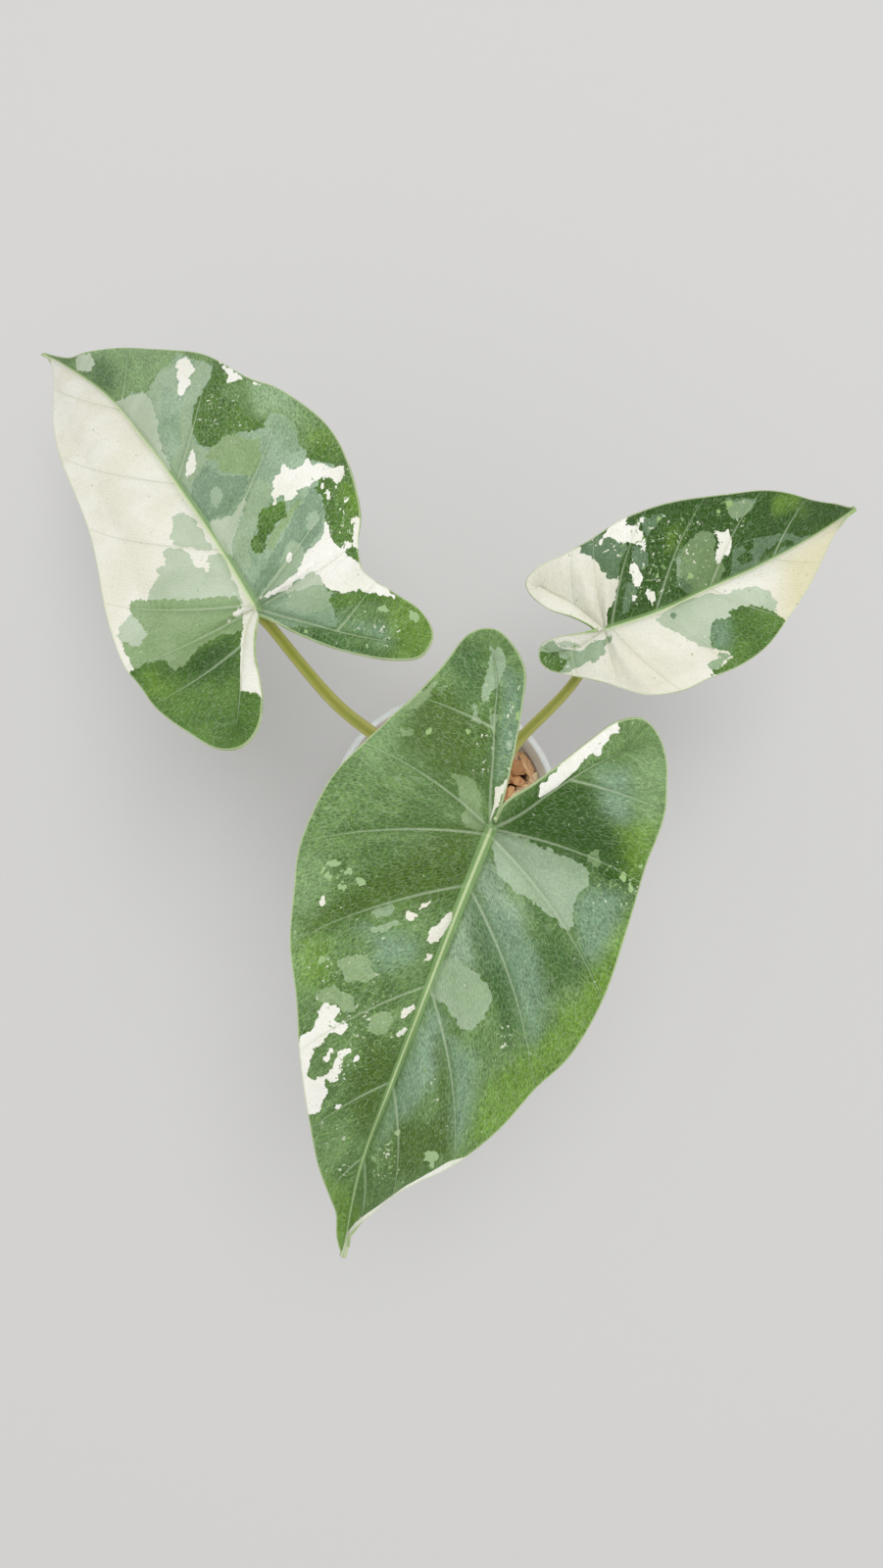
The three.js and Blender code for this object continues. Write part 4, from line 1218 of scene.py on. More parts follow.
# %% Leaf colours
MID_GREEN = paint_colour(99, 131, 74)
DEEP_GREEN = paint_colour(76, 108, 50)
FRESH_GREEN = paint_colour(126, 158, 96)
SHARP_TONES = {
    "mist": (paint_colour(148, 172, 144), paint_colour(130, 157, 124), 0.4),
    "cream": (paint_colour(230, 229, 217), paint_colour(225, 222, 205), 1.0),
    "milk": (paint_colour(186, 199, 176), paint_colour(174, 189, 162), 0.95),
    "mint": (paint_colour(156, 177, 147), paint_colour(145, 168, 132), 0.7),
    "sage": (paint_colour(140, 164, 120), paint_colour(130, 156, 106), 0.6),
    "grey": (paint_colour(124, 150, 123), paint_colour(111, 138, 107), 0.5),
    "dark": (paint_colour(70, 106, 36), paint_colour(84, 120, 46), 0.0),
    "fresh": (paint_colour(156, 184, 132), paint_colour(146, 176, 112), 1.0),
    "pearl": (paint_colour(156, 178, 150), paint_colour(148, 170, 138), 1.0),
    "white": (paint_colour(238, 237, 229), paint_colour(231, 231, 217), 1.0),
    "border": (paint_colour(230, 231, 222), paint_colour(224, 225, 208), 1.0),
}
# Soft tones, most of them painted light and shade: "ash", "teal" and "haze" are painted sheen on
# lit slopes, "olive", "shade" and "deep" painted shade in hollows, partly the leaf's own darker
# green, and "glow" painted light shining through the blade.
SOFT_SHADE_LIGHT_AND_TINTS = {
    "ash": (paint_colour(154, 176, 152), 0.65),
    "teal": (paint_colour(124, 154, 130), 0.65),
    "haze": (paint_colour(140, 172, 118), 0.5),
    "olive": (paint_colour(70, 98, 28), 0.92),
    "shade": (paint_colour(60, 96, 44), 0.8),
    "deep": (paint_colour(38, 76, 0), 0.97),
    "glow": (paint_colour(108, 146, 40), 0.6),
}
BUTTER_COLOUR = paint_colour(214, 208, 168)
VEIN_COLOUR = paint_colour(202, 216, 186)
VEIN_ON_CREAM = paint_colour(190, 192, 166)
RIB_BAND_COLOUR = paint_colour(138, 170, 112)
RIB_COLOUR = paint_colour(198, 213, 164)
MARGIN_COLOUR = paint_colour(192, 206, 160)
UNDER_COLOUR = paint_colour(150, 172, 128)
print("tones laid on in order:", ", ".join([*SHARP_TONES, *SOFT_SHADE_LIGHT_AND_TINTS]))

# %% Green of the blade
ALONG_CELLS = (0.45, 1, 1)


def green_base(tree, places, rows):
    """The slowly changing green of a blade and its marbling along the veins."""
    slow = ramp(tree, cloud(tree, places, 38, 3), 0.42, 0.62)
    colour = paint(tree, MID_GREEN, DEEP_GREEN, slow)
    light = ramp(tree, cloud(tree, rows, 0.22, 3, 4.0), 0.535, 0.56, 0.3)
    colour = paint(tree, colour, FRESH_GREEN, light)
    dark = ramp(tree, cloud(tree, rows, 0.2, 3, 9.0), 0.55, 0.575, 0.35)
    return paint(tree, colour, DEEP_GREEN, dark)


print("cells are", round(1 / ALONG_CELLS[0], 1), "times as long as wide")

# %% Ragged edges
RAGGED_COARSE_MM = 3.0
RAGGED_FINE_MM = 1.4


def ragged_edge(tree, places, flat_rows):
    """How far noise pushes the edge of a patch, in mm: nothing at the midrib."""
    coarse = calculate(tree, "SUBTRACT", cloud(tree, places, 360, 1, 2.0), 0.5)
    fine = calculate(tree, "SUBTRACT", cloud(tree, places, 1050, 2, 7.0), 0.5)
    push = calculate(tree, "ADD", calculate(tree, "MULTIPLY", coarse, RAGGED_COARSE_MM),
                     calculate(tree, "MULTIPLY", fine, RAGGED_FINE_MM))
    split = tree.nodes.new("ShaderNodeSeparateXYZ")
    tree.links.new(flat_rows, split.inputs[0])
    off_rib = ramp(tree, calculate(tree, "ABSOLUTE", split.outputs[0]), 0.2, 2.5)
    return calculate(tree, "MULTIPLY", push, off_rib)


print("edges wander by up to", (RAGGED_COARSE_MM + RAGGED_FINE_MM) / 2, "mm")

# %% Sharp patches
SHARP_EDGE_MM = 0.08
BUTTER_EDGE_MM = 6


def sharp_layers(tree, colour, push, drift):
    """The patches with sharp edges, and how opaque they lie on the green."""
    opaque = 0.0
    for tone, (first, second, cover) in SHARP_TONES.items():
        edge = 0.0 if tone == "border" else push
        depth = calculate(tree, "ADD", number_of(tree, tone), edge)
        share = ramp(tree, depth, -SHARP_EDGE_MM, SHARP_EDGE_MM)
        colour = paint(tree, colour, paint(tree, first, second, drift), share)
        if tone == "cream":
            warm = number_of(tree, "butter")
            butter = ramp(tree, warm, -BUTTER_EDGE_MM, BUTTER_EDGE_MM, 0.8)
            colour = paint(tree, colour, BUTTER_COLOUR, butter)
        kept = calculate(tree, "MULTIPLY", opaque, calculate(tree, "SUBTRACT", 1.0, share))
        opaque = calculate(tree, "ADD", kept, calculate(tree, "MULTIPLY", share, cover))
    return colour, opaque


print("sharp tones:", len(SHARP_TONES))

# %% Soft tones: painted light and shade
SOFT_EDGE_MM = 3.5
SOFT_WANDER_MM = 7.0


def soft_light_and_shade(tree, colour, rows, push, open_share):
    """The soft tones, mostly painted light and shade, where no pale patch lies on it."""
    wander = calculate(tree, "SUBTRACT", cloud(tree, rows, 0.14, 2, 11.0), 0.5)
    soft_push = calculate(tree, "ADD", push, calculate(tree, "MULTIPLY", wander, SOFT_WANDER_MM))
    for tone, (tint, strength) in SOFT_SHADE_LIGHT_AND_TINTS.items():
        depth = calculate(tree, "ADD", number_of(tree, tone), soft_push)
        share = ramp(tree, depth, -SOFT_EDGE_MM, SOFT_EDGE_MM, strength)
        colour = paint(tree, colour, tint, calculate(tree, "MULTIPLY", share, open_share))
    return colour


print("soft tones:", len(SOFT_SHADE_LIGHT_AND_TINTS))

# %% Grain and specks
GRAIN_ON_GREEN = 2.1
GRAIN_ON_PALE = 0.16


def grain(tree, colour, rows, green_share):
    """The fine uneven light and dark of the cells."""
    fine = calculate(tree, "SUBTRACT", 0.5, cloud(tree, rows, 2.2, 2.5, 20.0))
    coarse = calculate(tree, "SUBTRACT", 0.5, cloud(tree, rows, 0.6, 3, 24.0))
    unevenness = calculate(tree, "ADD", fine, calculate(tree, "MULTIPLY", coarse, 0.35))
    on_green = calculate(tree, "MULTIPLY", green_share, GRAIN_ON_GREEN)
    strength = calculate(tree, "ADD", on_green, GRAIN_ON_PALE)
    lift = calculate(tree, "ADD", 1.0, calculate(tree, "MULTIPLY", unevenness, strength))
    node = tree.nodes.new("ShaderNodeVectorMath")
    node.operation = "SCALE"
    tree.links.new(colour, node.inputs[0])
    tree.links.new(lift, node.inputs["Scale"])
    return node.outputs[0]


def specks(tree, colour, places):
    """Small uneven specks, from pale green to white, where a blade is flecked."""
    zone = ramp(tree, number_of(tree, "fleck"), -3, 4, 0.1)
    lift = calculate(tree, "ADD", zone, cloud(tree, places, 900, 1.5, 12.0))
    whiteness = ramp(tree, cloud(tree, places, 260, 1, 15.0), 0.5, 0.66)
    tint = paint(tree, FRESH_GREEN, SHARP_TONES["white"][1], whiteness)
    return paint(tree, colour, tint, ramp(tree, lift, 0.705, 0.725, 0.85))


print("grain:", GRAIN_ON_GREEN, "on green and", GRAIN_ON_PALE, "on pale tissue")


# %% Vein lines
def vein_lines(tree, colour, rows, opaque):
    """The fine net, the side veins with painted shade along them, the midrib with a painted shadow
    beside it, and the pale margin of a blade.
    """
    pale = calculate(tree, "POWER", opaque, 3.0)
    shown = calculate(tree, "SUBTRACT", 1.0, calculate(tree, "MULTIPLY", pale, 0.85))
    net = cells(tree, rows, 1.1, "DISTANCE_TO_EDGE").outputs["Distance"]
    net_line = calculate(tree, "MULTIPLY", ramp(tree, net, 0.1, 0.0, 0.16), shown)
    colour = paint(tree, colour, VEIN_COLOUR, net_line)
    outward = ramp(tree, number_of(tree, "fraction"), 0.2, 1.0, 0.5)
    fading = calculate(tree, "MULTIPLY", calculate(tree, "SUBTRACT", 1.0, outward), shown)
    vein = number_of(tree, "vein")
    # Painted shade: the hollow along each side vein is darker.
    vein_hollow_shade = calculate(tree, "MULTIPLY", ramp(tree, vein, 5.0, 1.5, 0.3), fading)
    colour = paint(tree, colour, DEEP_GREEN, vein_hollow_shade)
    line = calculate(tree, "MULTIPLY", ramp(tree, vein, 1.2, 0.2, 0.36), fading)
    colour = paint(tree, colour, VEIN_COLOUR, line)
    thread = calculate(tree, "MULTIPLY", ramp(tree, vein, 0.9, 0.2, 0.5), pale)
    colour = paint(tree, colour, VEIN_ON_CREAM, thread)
    rib = number_of(tree, "rib")
    # Painted shadow: a darker line beside the midrib.
    shadow = calculate(tree, "MULTIPLY", ramp(tree, rib, 4.0, 2.4, 0.35), shown)
    colour = paint(tree, colour, DEEP_GREEN, shadow)
    band = calculate(tree, "MULTIPLY", ramp(tree, rib, 2.4, 1.6, 0.75), shown)
    colour = paint(tree, colour, RIB_BAND_COLOUR, band)
    colour = paint(tree, colour, RIB_COLOUR, ramp(tree, rib, 0.85, 0.25, 0.8))
    edge = ramp(tree, number_of(tree, "margin"), 0.5, 0.2, 0.6)
    return paint(tree, colour, MARGIN_COLOUR, edge), net


print("lines: net, side veins, midrib, margin")


# %% Leaf material
def leaf_material(name, roughness, under_share):
    """The painted finish of one face of the blades."""
    material, tree, shader = new_material(name, roughness)
    places = object_places(tree)
    flat_rows = mapped_places(tree, "rows")
    rows = stretched(tree, flat_rows, ALONG_CELLS)
    push = ragged_edge(tree, places, flat_rows)
    drift = ramp(tree, cloud(tree, places, 60, 4, 3.0), 0.4, 0.62)
    colour, opaque = sharp_layers(tree, green_base(tree, places, rows), push, drift)
    open_share = calculate(tree, "SUBTRACT", 1.0, opaque)
    colour = soft_light_and_shade(tree, colour, rows, push, open_share)
    colour = grain(tree, colour, rows, open_share)
    colour = specks(tree, colour, places)
    colour, net = vein_lines(tree, colour, rows, opaque)
    colour = paint(tree, colour, UNDER_COLOUR, under_share)
    tree.links.new(colour, shader.inputs["Base Color"])
    shader.inputs["Specular IOR Level"].default_value = 0.2
    skin = calculate(tree, "ADD", ramp(tree, net, 0.0, 0.22),
                     calculate(tree, "MULTIPLY", cloud(tree, rows, 3.0, 3), 0.5))
    relief(tree, shader, skin, 0.12, 0.65)
    return material


UPPER_LEAF = leaf_material("leaf_upper_satin", 0.42, 0.0)
UNDER_LEAF = leaf_material("leaf_under_matt", 0.6, 0.5)
print("leaf materials:", UPPER_LEAF.name, UNDER_LEAF.name)

# %% Margin material
LEAF_MARGIN, tree, shader = new_material("leaf_margin_wall", 0.5)
spread = ramp(tree, cloud(tree, object_places(tree), 120, 3), 0.4, 0.6)
margin_paint = paint(tree, MARGIN_COLOUR, paint_colour(150, 178, 110), spread)
tree.links.new(margin_paint, shader.inputs["Base Color"])
print("margin material:", LEAF_MARGIN.name)

# %% [markdown]
# ## Blades with a thickness
#
# A sheet has no thickness. The Solidify modifier gives it one, downwards, and a vertex group
# says how much of it each corner gets: 0.8 mm at the margin, and up to 2.5 mm under the
# midrib, where the real blade has a strong keel. The modifier also gives the new under face
# and the thin wall round the margin materials of their own.

# %% Finished blades
FULL_DEPTH = BLADE_THICKNESS + RIB_DEPTH


def add_piece(name, mesh, replaced=()):
    """Puts a finished mesh in the scene as a piece that stands for some solids."""
    piece = in_scene(name, mesh)
    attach(piece, "root")
    if replaced:
        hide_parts(*replaced)
    return piece


def finished_blade(leaf):
    """A blade as a piece, with its thickness."""
    name = "blade_" + leaf["name"]
    piece = add_piece(name + "_marbled", leaf["mesh"], [name])
    for material in (UPPER_LEAF, UNDER_LEAF, LEAF_MARGIN):
        piece.data.materials.append(material)
    group = piece.vertex_groups.new(name="depth")
    for index, depth in enumerate(leaf["depth"]):
        group.add([index], float(depth) / FULL_DEPTH, "REPLACE")
    wall = piece.modifiers.new("thickness", "SOLIDIFY")
    wall.thickness = FULL_DEPTH * MM
    wall.offset = -1
    wall.vertex_group = group.name
    wall.thickness_vertex_group = 0
    wall.material_offset = 1
    wall.material_offset_rim = 2
    return piece


blades = [finished_blade(leaf) for leaf in LEAVES]
print("blades:", [blade.name for blade in blades])

# %% [markdown]
# ## Leaf stalks
#
# A stalk, or petiole, is a tapering rod with a shallow channel along its upper side, and its
# foot clasps the plant with a wider, deeper channel. A grid rolled into a tube gives it even
# rings: the columns go round and the rows go along. The line that it follows is a Catmull-Rom
# line again, this time in space and with even steps, and the same as in the solid model.

# %% Line in space
def space_line(points, count):
    """Evenly spaced points of a centripetal Catmull-Rom line in space."""
    points = np.asarray(points, float)
    first = 2 * points[0] - points[1]
    last = 2 * points[-1] - points[-2]
    guide = np.vstack([first, points, last])
    gaps = np.sqrt(np.linalg.norm(np.diff(guide, axis=0), axis=1))
    t = np.linspace(0, 1, 60, endpoint=False)[:, None]
    pieces = []
    for i in range(len(points) - 1):
        p0, p1, p2, p3 = guide[i:i + 4]
        d0, d1, d2 = gaps[i:i + 3]
        leave = ((p1 - p0) / d0 - (p2 - p0) / (d0 + d1) + (p2 - p1) / d1) * d1
        arrive = ((p2 - p1) / d1 - (p3 - p1) / (d1 + d2) + (p3 - p2) / d2) * d1
        square = 3 * (p2 - p1) - 2 * leave - arrive
        cubic = 2 * (p1 - p2) + leave + arrive
        pieces.append(p1 + leave * t + square * t ** 2 + cubic * t ** 3)
    dense = np.vstack([*pieces, points[-1:]])
    lengths = np.concatenate([[0], np.cumsum(np.linalg.norm(np.diff(dense, axis=0), axis=1))])
    even = np.linspace(0, lengths[-1], count)
    return np.stack([np.interp(even, lengths, dense[:, k]) for k in range(3)], axis=1), lengths[-1]


print("a straight line of 10 has the length", round(space_line([(0, 0, 0), (0, 0, 10)], 5)[1], 3))

# %% Tube from a rolled grid
def rolled_tube(line, radii, upper, dents, sides):
    """A closed tube along a line of points, in mm, with a channel on the side of "upper"."""
    rings = len(line)
    tangents = np.gradient(line, axis=0)
    tangents /= np.linalg.norm(tangents, axis=1)[:, None]
    upper = np.broadcast_to(np.asarray(upper, float), line.shape)
    up = upper - tangents * np.sum(upper * tangents, axis=1)[:, None]
    up /= np.linalg.norm(up, axis=1)[:, None]
    out = np.cross(tangents, up)
    steps = np.concatenate([[0], np.cumsum(np.linalg.norm(np.diff(line, axis=0), axis=1))])
    tube = bmesh.new()
    uv = tube.loops.layers.uv.new("skin")
    made = bmesh.ops.create_grid(
        tube, x_segments=sides, y_segments=rings - 1, size=GRID_SPAN / 2, calc_uvs=True)
    for face in tube.faces:
        face.smooth = True
        for loop in face.loops:
            share, place = loop[uv].uv
            loop[uv].uv = ((share - 0.5) * 2 * math.pi, place * steps[-1])
    for vert in made["verts"]:
        angle = vert.co.x / GRID_SPAN * 2 * math.pi
        ring = round((vert.co.y / GRID_SPAN + 0.5) * (rings - 1))
        radius = radii[ring] * (1 - dents[ring] * math.exp(-(angle / 0.42) ** 2))
        shift = out[ring] * math.sin(angle) + up[ring] * math.cos(angle)
        vert.co = (line[ring] + shift * radius) * MM
    bmesh.ops.remove_doubles(tube, verts=tube.verts, dist=MERGE_DISTANCE)
    bmesh.ops.holes_fill(tube, edges=[edge for edge in tube.edges if edge.is_boundary], sides=0)
    bmesh.ops.recalc_face_normals(tube, faces=tube.faces)
    return tube


test_line = np.array([(0, 0, z) for z in range(11)], float)
test_tube = rolled_tube(test_line, [2] * 11, (1, 0, 0), [0] * 11, 24)
print("volume of a test rod in mm3:", round(test_tube.calc_volume() / MM ** 3, 1))
test_tube.free()

# %% Stalk routes
CROWN = (9, 4)
STALK_CIRCLE = 4.6
STALK_FOOT = 60
STALK_RINGS = 140
STALK_SIDES = 40
JOINT_DROP = 1.6


def round_crown(radius, turn, height, share=1):
    """A point round the crown. A share under 1 draws the circle's centre to the pot's axis."""
    x, y = CROWN
    return (share * x + radius * math.cos(turn), share * y + radius * math.sin(turn), height)


def stalk_foot(degrees, height):
    """A point near the foot of a stalk."""
    return round_crown(STALK_CIRCLE, math.radians(degrees), height)


STALKS = {
    "front": {
        "points": [stalk_foot(270, STALK_FOOT), stalk_foot(270, 80), (13, 1, 130),
                   (14, 1.5, 185)],
        "radii": [3.6, 3.2, 2.5, 2.2, 2],
    },
    "far_left": {
        "points": [stalk_foot(150, STALK_FOOT), stalk_foot(150, 76), (-6, 14, 108),
                   (-24.5, 27, 144), (-36.5, 37, 165)],
        "radii": [3.6, 3.1, 2.4, 2, 1.7],
    },
    "far_right": {
        "points": [stalk_foot(30, STALK_FOOT), stalk_foot(30, 76), (19, 15, 100),
                   (26.5, 26, 127), (42, 43.5, 161)],
        "radii": [3.5, 2.9, 2.1, 1.8, 1.5],
    },
}
for leaf in LEAVES:
    end = (leaf["joint"][0], leaf["joint"][1], leaf["joint"][2] - JOINT_DROP)
    STALKS[leaf["name"]]["points"].append(end)
    line, length = space_line(STALKS[leaf["name"]]["points"], STALK_RINGS)
    STALKS[leaf["name"]]["line"] = line
    print("stalk", leaf["name"], "is", round(length), "mm long")

# %% [markdown]
# The skin of a stalk is olive green with fine streaks and small dark flecks along it, and paler
# towards its foot. It is darker in the channel, which is painted shade, and paler on the lips of
# the channel, which is painted light where the thin edges let it through. The streaks and flecks
# are read from the tube's own map, whose first number is the angle round the stalk and whose
# second is the length; the channel, its lips and the foot are numbers on the corners.

# %% Stalk material
STALK_OLIVE = paint_colour(168, 172, 70)
STALK_FLECK_AND_CHANNEL_SHADE = paint_colour(130, 138, 38)
STALK_STREAK_AND_LIP_LIGHT = paint_colour(190, 184, 106)
STALK_FOOT_COLOUR = paint_colour(188, 184, 120)

STALK_SKIN, tree, shader = new_material("stalk_olive_skin", 0.45)
skin_map = mapped_places(tree, "skin")
streaks = cloud(tree, stretched(tree, skin_map, (1.6, 0.06, 1)), 2.4, 4)
colour = paint(tree, STALK_OLIVE, STALK_STREAK_AND_LIP_LIGHT, ramp(tree, streaks, 0.45, 0.68, 0.7))
flecks = cells(tree, stretched(tree, skin_map, (2.0, 0.35, 1)), 1.6)
dots = calculate(tree, "LESS_THAN", flecks.outputs["Distance"], 0.16)
colour = paint(tree, colour, STALK_FLECK_AND_CHANNEL_SHADE, calculate(tree, "MULTIPLY", dots, 0.35))
# Painted shade: darker in the hollow of the channel.
channel = ramp(tree, number_of(tree, "channel"), 0.15, 0.9, 0.5)
colour = paint(tree, colour, STALK_FLECK_AND_CHANNEL_SHADE, channel)
# Painted light: paler on the lips of the channel, where the thin edges let light through.
lit_lip = number_of(tree, "lit_lip")
colour = paint(tree, colour, STALK_STREAK_AND_LIP_LIGHT, calculate(tree, "MULTIPLY", lit_lip, 0.6))
colour = paint(tree, colour, STALK_FOOT_COLOUR, ramp(tree, number_of(tree, "foot"), 0.0, 1.0, 0.7))
tree.links.new(colour, shader.inputs["Base Color"])
relief(tree, shader, streaks, 0.15, 0.4)
print("stalk material:", STALK_SKIN.name)

# %% Finished stalks
COLLAR_SWELL = 0.5
COLLAR_LENGTH = 5.0
CHANNEL_DENT = 0.2
FOOT_DENT = 0.25
FOOT_SHARE = 0.3


def finished_stalk(leaf):
    """A stalk as a piece, with its channel, its clasping foot and its collar at the blade."""
    plan = STALKS[leaf["name"]]
    line = plan["line"]
    places = np.linspace(0, 1, len(line))
    radii = smooth_line(np.array(plan["radii"])[:, None], places)[:, 0]
    to_end = np.linalg.norm(line - line[-1], axis=1)
    radii = radii + COLLAR_SWELL * np.exp(-(to_end / COLLAR_LENGTH) ** 2)
    foot = np.clip(1 - places / FOOT_SHARE, 0, 1)
    dents = CHANNEL_DENT + FOOT_DENT * foot ** 2
    heading = math.radians(leaf["heading"])
    upper = (-math.cos(heading), -math.sin(heading), 1)
    tube = rolled_tube(line, radii, upper, dents, STALK_SIDES)
    name = "petiole_" + leaf["name"]
    mesh = mesh_of(tube, name)
    mesh.materials.append(STALK_SKIN)
    corners = corner_places(mesh)
    nearest = [int(np.argmin(np.linalg.norm(line - corner, axis=1))) for corner in corners]
    up = np.array(upper) / np.linalg.norm(upper)
    arm = corners - line[nearest]
    arm /= np.maximum(np.linalg.norm(arm, axis=1), 1e-6)[:, None]
    tangents = np.gradient(line, axis=0)[nearest]
    tangents /= np.linalg.norm(tangents, axis=1)[:, None]
    side = up - tangents * (tangents @ up)[:, None]
    side /= np.linalg.norm(side, axis=1)[:, None]
    angle = np.arccos(np.clip(np.sum(arm * side, axis=1), -1, 1))
    # These numbers place the painted shade in the channel and the painted light on its lips.
    write_numbers(mesh, "channel", np.exp(-(angle / 0.5) ** 2))
    write_numbers(mesh, "lit_lip", np.exp(-((angle - 0.85) / 0.22) ** 2))
    write_numbers(mesh, "foot", foot[nearest] ** 1.5)
    return add_piece(name + "_stalk", mesh, [name])


stalks = [finished_stalk(leaf) for leaf in LEAVES]
print("stalks:", [stalk.name for stalk in stalks])

# %% [markdown]
# ## Clear nursery pot
#
# The pot is a turned shape, so its section is drawn once and spun round. The section is a few
# corners; the operator makes the wall. The holes in its floor are cut with a Boolean modifier,
# whose result is applied at once. The plastic is clear with a faint milkiness. Above the mix
# the wall gets a whiter, less clear copy of it, which paints the bright, lit look of the rim band.

# %% Pot shell
POT_HEIGHT = 80
BASE_RADIUS = 32
WALL_LEAN = 0.145
POT_WALL = 1.2
RIM_RADIUS = 45
SPIN_STEPS = 128
DRAIN_HOLES = 6
DRAIN_RADIUS = 3.5
DRAIN_CIRCLE_RADIUS = 21


def wall_radius(height):
    """The pot's outer radius at a height."""
    return BASE_RADIUS + WALL_LEAN * height


def spun(section, steps):
    """A closed shell turned from a section of (radius, height) corners, in mm."""
    shell = bmesh.new()
    corners = [shell.verts.new((radius * MM, 0, height * MM)) for radius, height in section]
    edges = [shell.edges.new(pair) for pair in zip(corners, corners[1:])]
    bmesh.ops.spin(shell, geom=corners + edges, axis=(0, 0, 1), cent=(0, 0, 0),
                   angle=2 * math.pi, steps=steps, use_merge=True)
    bmesh.ops.remove_doubles(shell, verts=shell.verts, dist=MERGE_DISTANCE)
    bmesh.ops.recalc_face_normals(shell, faces=shell.faces)
    for face in shell.faces:
        face.smooth = True
    return shell


def arc(centre, radius, start, end, count):
    """Corners of a rounded part of a section."""
    turns = [math.radians(start + (end - start) * i / count) for i in range(count + 1)]
    return [(centre[0] + radius * math.cos(t), centre[1] + radius * math.sin(t)) for t in turns]


inner_top = wall_radius(POT_HEIGHT) - POT_WALL
section = [(0, 0.6), (27.5, 0.6), (28.2, 0.0)]
section += arc((BASE_RADIUS - 1.5, 1.5), 1.5, -90, 0, 6)
section += [(wall_radius(h), h) for h in (10, 20, 30, 40, 50, 58)]
section += [(wall_radius(59), 59), (wall_radius(60) + 0.35, 60), (wall_radius(70) + 0.35, 70)]
section += [(wall_radius(76), 76), (wall_radius(77) + 0.1, 76.9)]
section += arc((RIM_RADIUS - 0.8, 77.9), 0.8, -90, 0, 4)
section += arc((RIM_RADIUS - 0.9, 79.1), 0.9, 0, 90, 6)
section += arc((inner_top + 0.7, 79.3), 0.7, 90, 180, 4)
section += [(wall_radius(h) - POT_WALL, h) for h in (76, 60, 40, 20, 4)]
section += arc((wall_radius(2.4) - POT_WALL - 1.2, 3.0), 1.2, 0, -90, 5)
section += [(0, 1.8)]
pot_shell = spun(section, SPIN_STEPS)
print("pot shell:", len(pot_shell.faces), "faces,", round(pot_shell.calc_volume() / MM ** 3), "mm3")

# %% Pot holes
def applied(piece):
    """The mesh of a piece as its modifiers leave it."""
    depsgraph = bpy.context.evaluated_depsgraph_get()
    return bpy.data.meshes.new_from_object(piece.evaluated_get(depsgraph))


pot = in_scene("pot_clear_shell", mesh_of(pot_shell, "pot_clear"))
cutters = bmesh.new()
for i in range(DRAIN_HOLES):
    turn = 2 * math.pi * i / DRAIN_HOLES
    place = Vector((math.cos(turn), math.sin(turn), 0)) * DRAIN_CIRCLE_RADIUS * MM
    bmesh.ops.create_cone(
        cutters, cap_ends=True, segments=32, radius1=DRAIN_RADIUS * MM, radius2=DRAIN_RADIUS * MM,
        depth=10 * MM, matrix=Matrix.Translation(place))
cutter = in_scene("drain_cutters", mesh_of(cutters, "drain_cutters"))
cut = pot.modifiers.new("holes", "BOOLEAN")
cut.object = cutter
cut.solver = "EXACT"
holed = applied(pot)
pot.modifiers.clear()
pot.data = holed
bpy.data.objects.remove(cutter)
pot.data.set_sharp_from_angle(angle=math.radians(38))
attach(pot, "root")
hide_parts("pot")
print("pot:", len(pot.data.polygons), "faces with its holes")

# %% Pot plastic
LIT_BAND_ABOVE = 61


def plastic(name, roughness, transmission):
    """A clear plastic with a faint milkiness."""
    material, tree, shader = new_material(name, roughness)
    places = object_places(tree)
    haze = ramp(tree, cloud(tree, places, 90, 4), 0.35, 0.7)
    tint = paint(tree, paint_colour(246, 248, 248), paint_colour(232, 236, 236), haze)
    tree.links.new(tint, shader.inputs["Base Color"])
    shader.inputs["Transmission Weight"].default_value = transmission
    shader.inputs["IOR"].default_value = 1.46
    relief(tree, shader, cloud(tree, places, 400, 2), 0.05, 0.15)
    return material


pot.data.materials.clear()
pot.data.materials.append(plastic("pot_clear_plastic", 0.14, 0.93))
# Above the mix: a whiter copy of the plastic, painted light for the bright rim band.
pot.data.materials.append(plastic("pot_rim_painted_light", 0.3, 0.3))
for polygon in pot.data.polygons:
    polygon.material_index = int(polygon.center.z > LIT_BAND_ABOVE * MM)
print("pot materials:", [material.name for material in pot.data.materials])

# %% [markdown]
# ## Bark mix
#
# The pot is filled with chips of bark. Modelling a thousand different chips would be slow and
# heavy, so a few are cut from a cube and roughened, and then laid many times, each turned its
# own way: flat against the clear wall, under the floor of the fill and heaped on top. A turned
# core inside them closes the gaps; it is painted dark, as painted shade for the deep gaps between
# chips. Every chip carries a tone, so no two look alike. Both sources of chance are seeded, or
# the chips would change from one run to the next.

# %% Chip shapes
MIX_TOP = 63
MIX_FLOOR = 2.4
WALL_GAP = 0.35
CHIP_KINDS = 8
CHIP_ROUGHNESS = 0.16

rng = np.random.default_rng(7)
noise.seed_set(7)


def inside_radius(height):
    """The widest the mix may be at a height."""
    return wall_radius(height) - POT_WALL - WALL_GAP


def chip_shape(kind):
    """One chip of bark, 1 long: a block with a rough, uneven skin."""
    chip = bmesh.new()
    bmesh.ops.create_cube(chip, size=1)
    bmesh.ops.subdivide_edges(chip, edges=chip.edges, cuts=2, use_grid_fill=True)
    slimness = (1, rng.uniform(0.5, 0.8), rng.uniform(0.28, 0.5))
    for vert in chip.verts:
        rounding = 1 - 0.22 * (sum(abs(c) > 0.4 for c in vert.co) - 1)
        push = noise.noise_vector(vert.co * 2.3 + Vector((kind * 7.1, 0, 0))) * CHIP_ROUGHNESS
        place = vert.co * rounding + push
        vert.co = [c * s for c, s in zip(place, slimness)]
    return mesh_of(chip, "chip_kind")


chip_kinds = [chip_shape(kind) for kind in range(CHIP_KINDS)]
print("chip kinds:", CHIP_KINDS, "of", len(chip_kinds[0].polygons), "faces each")

# %% Where the chips lie
GOLDEN_TURN = math.pi * (3 - math.sqrt(5))
CHIP_SPACING = 6.2
RING_SPACING = 4.1


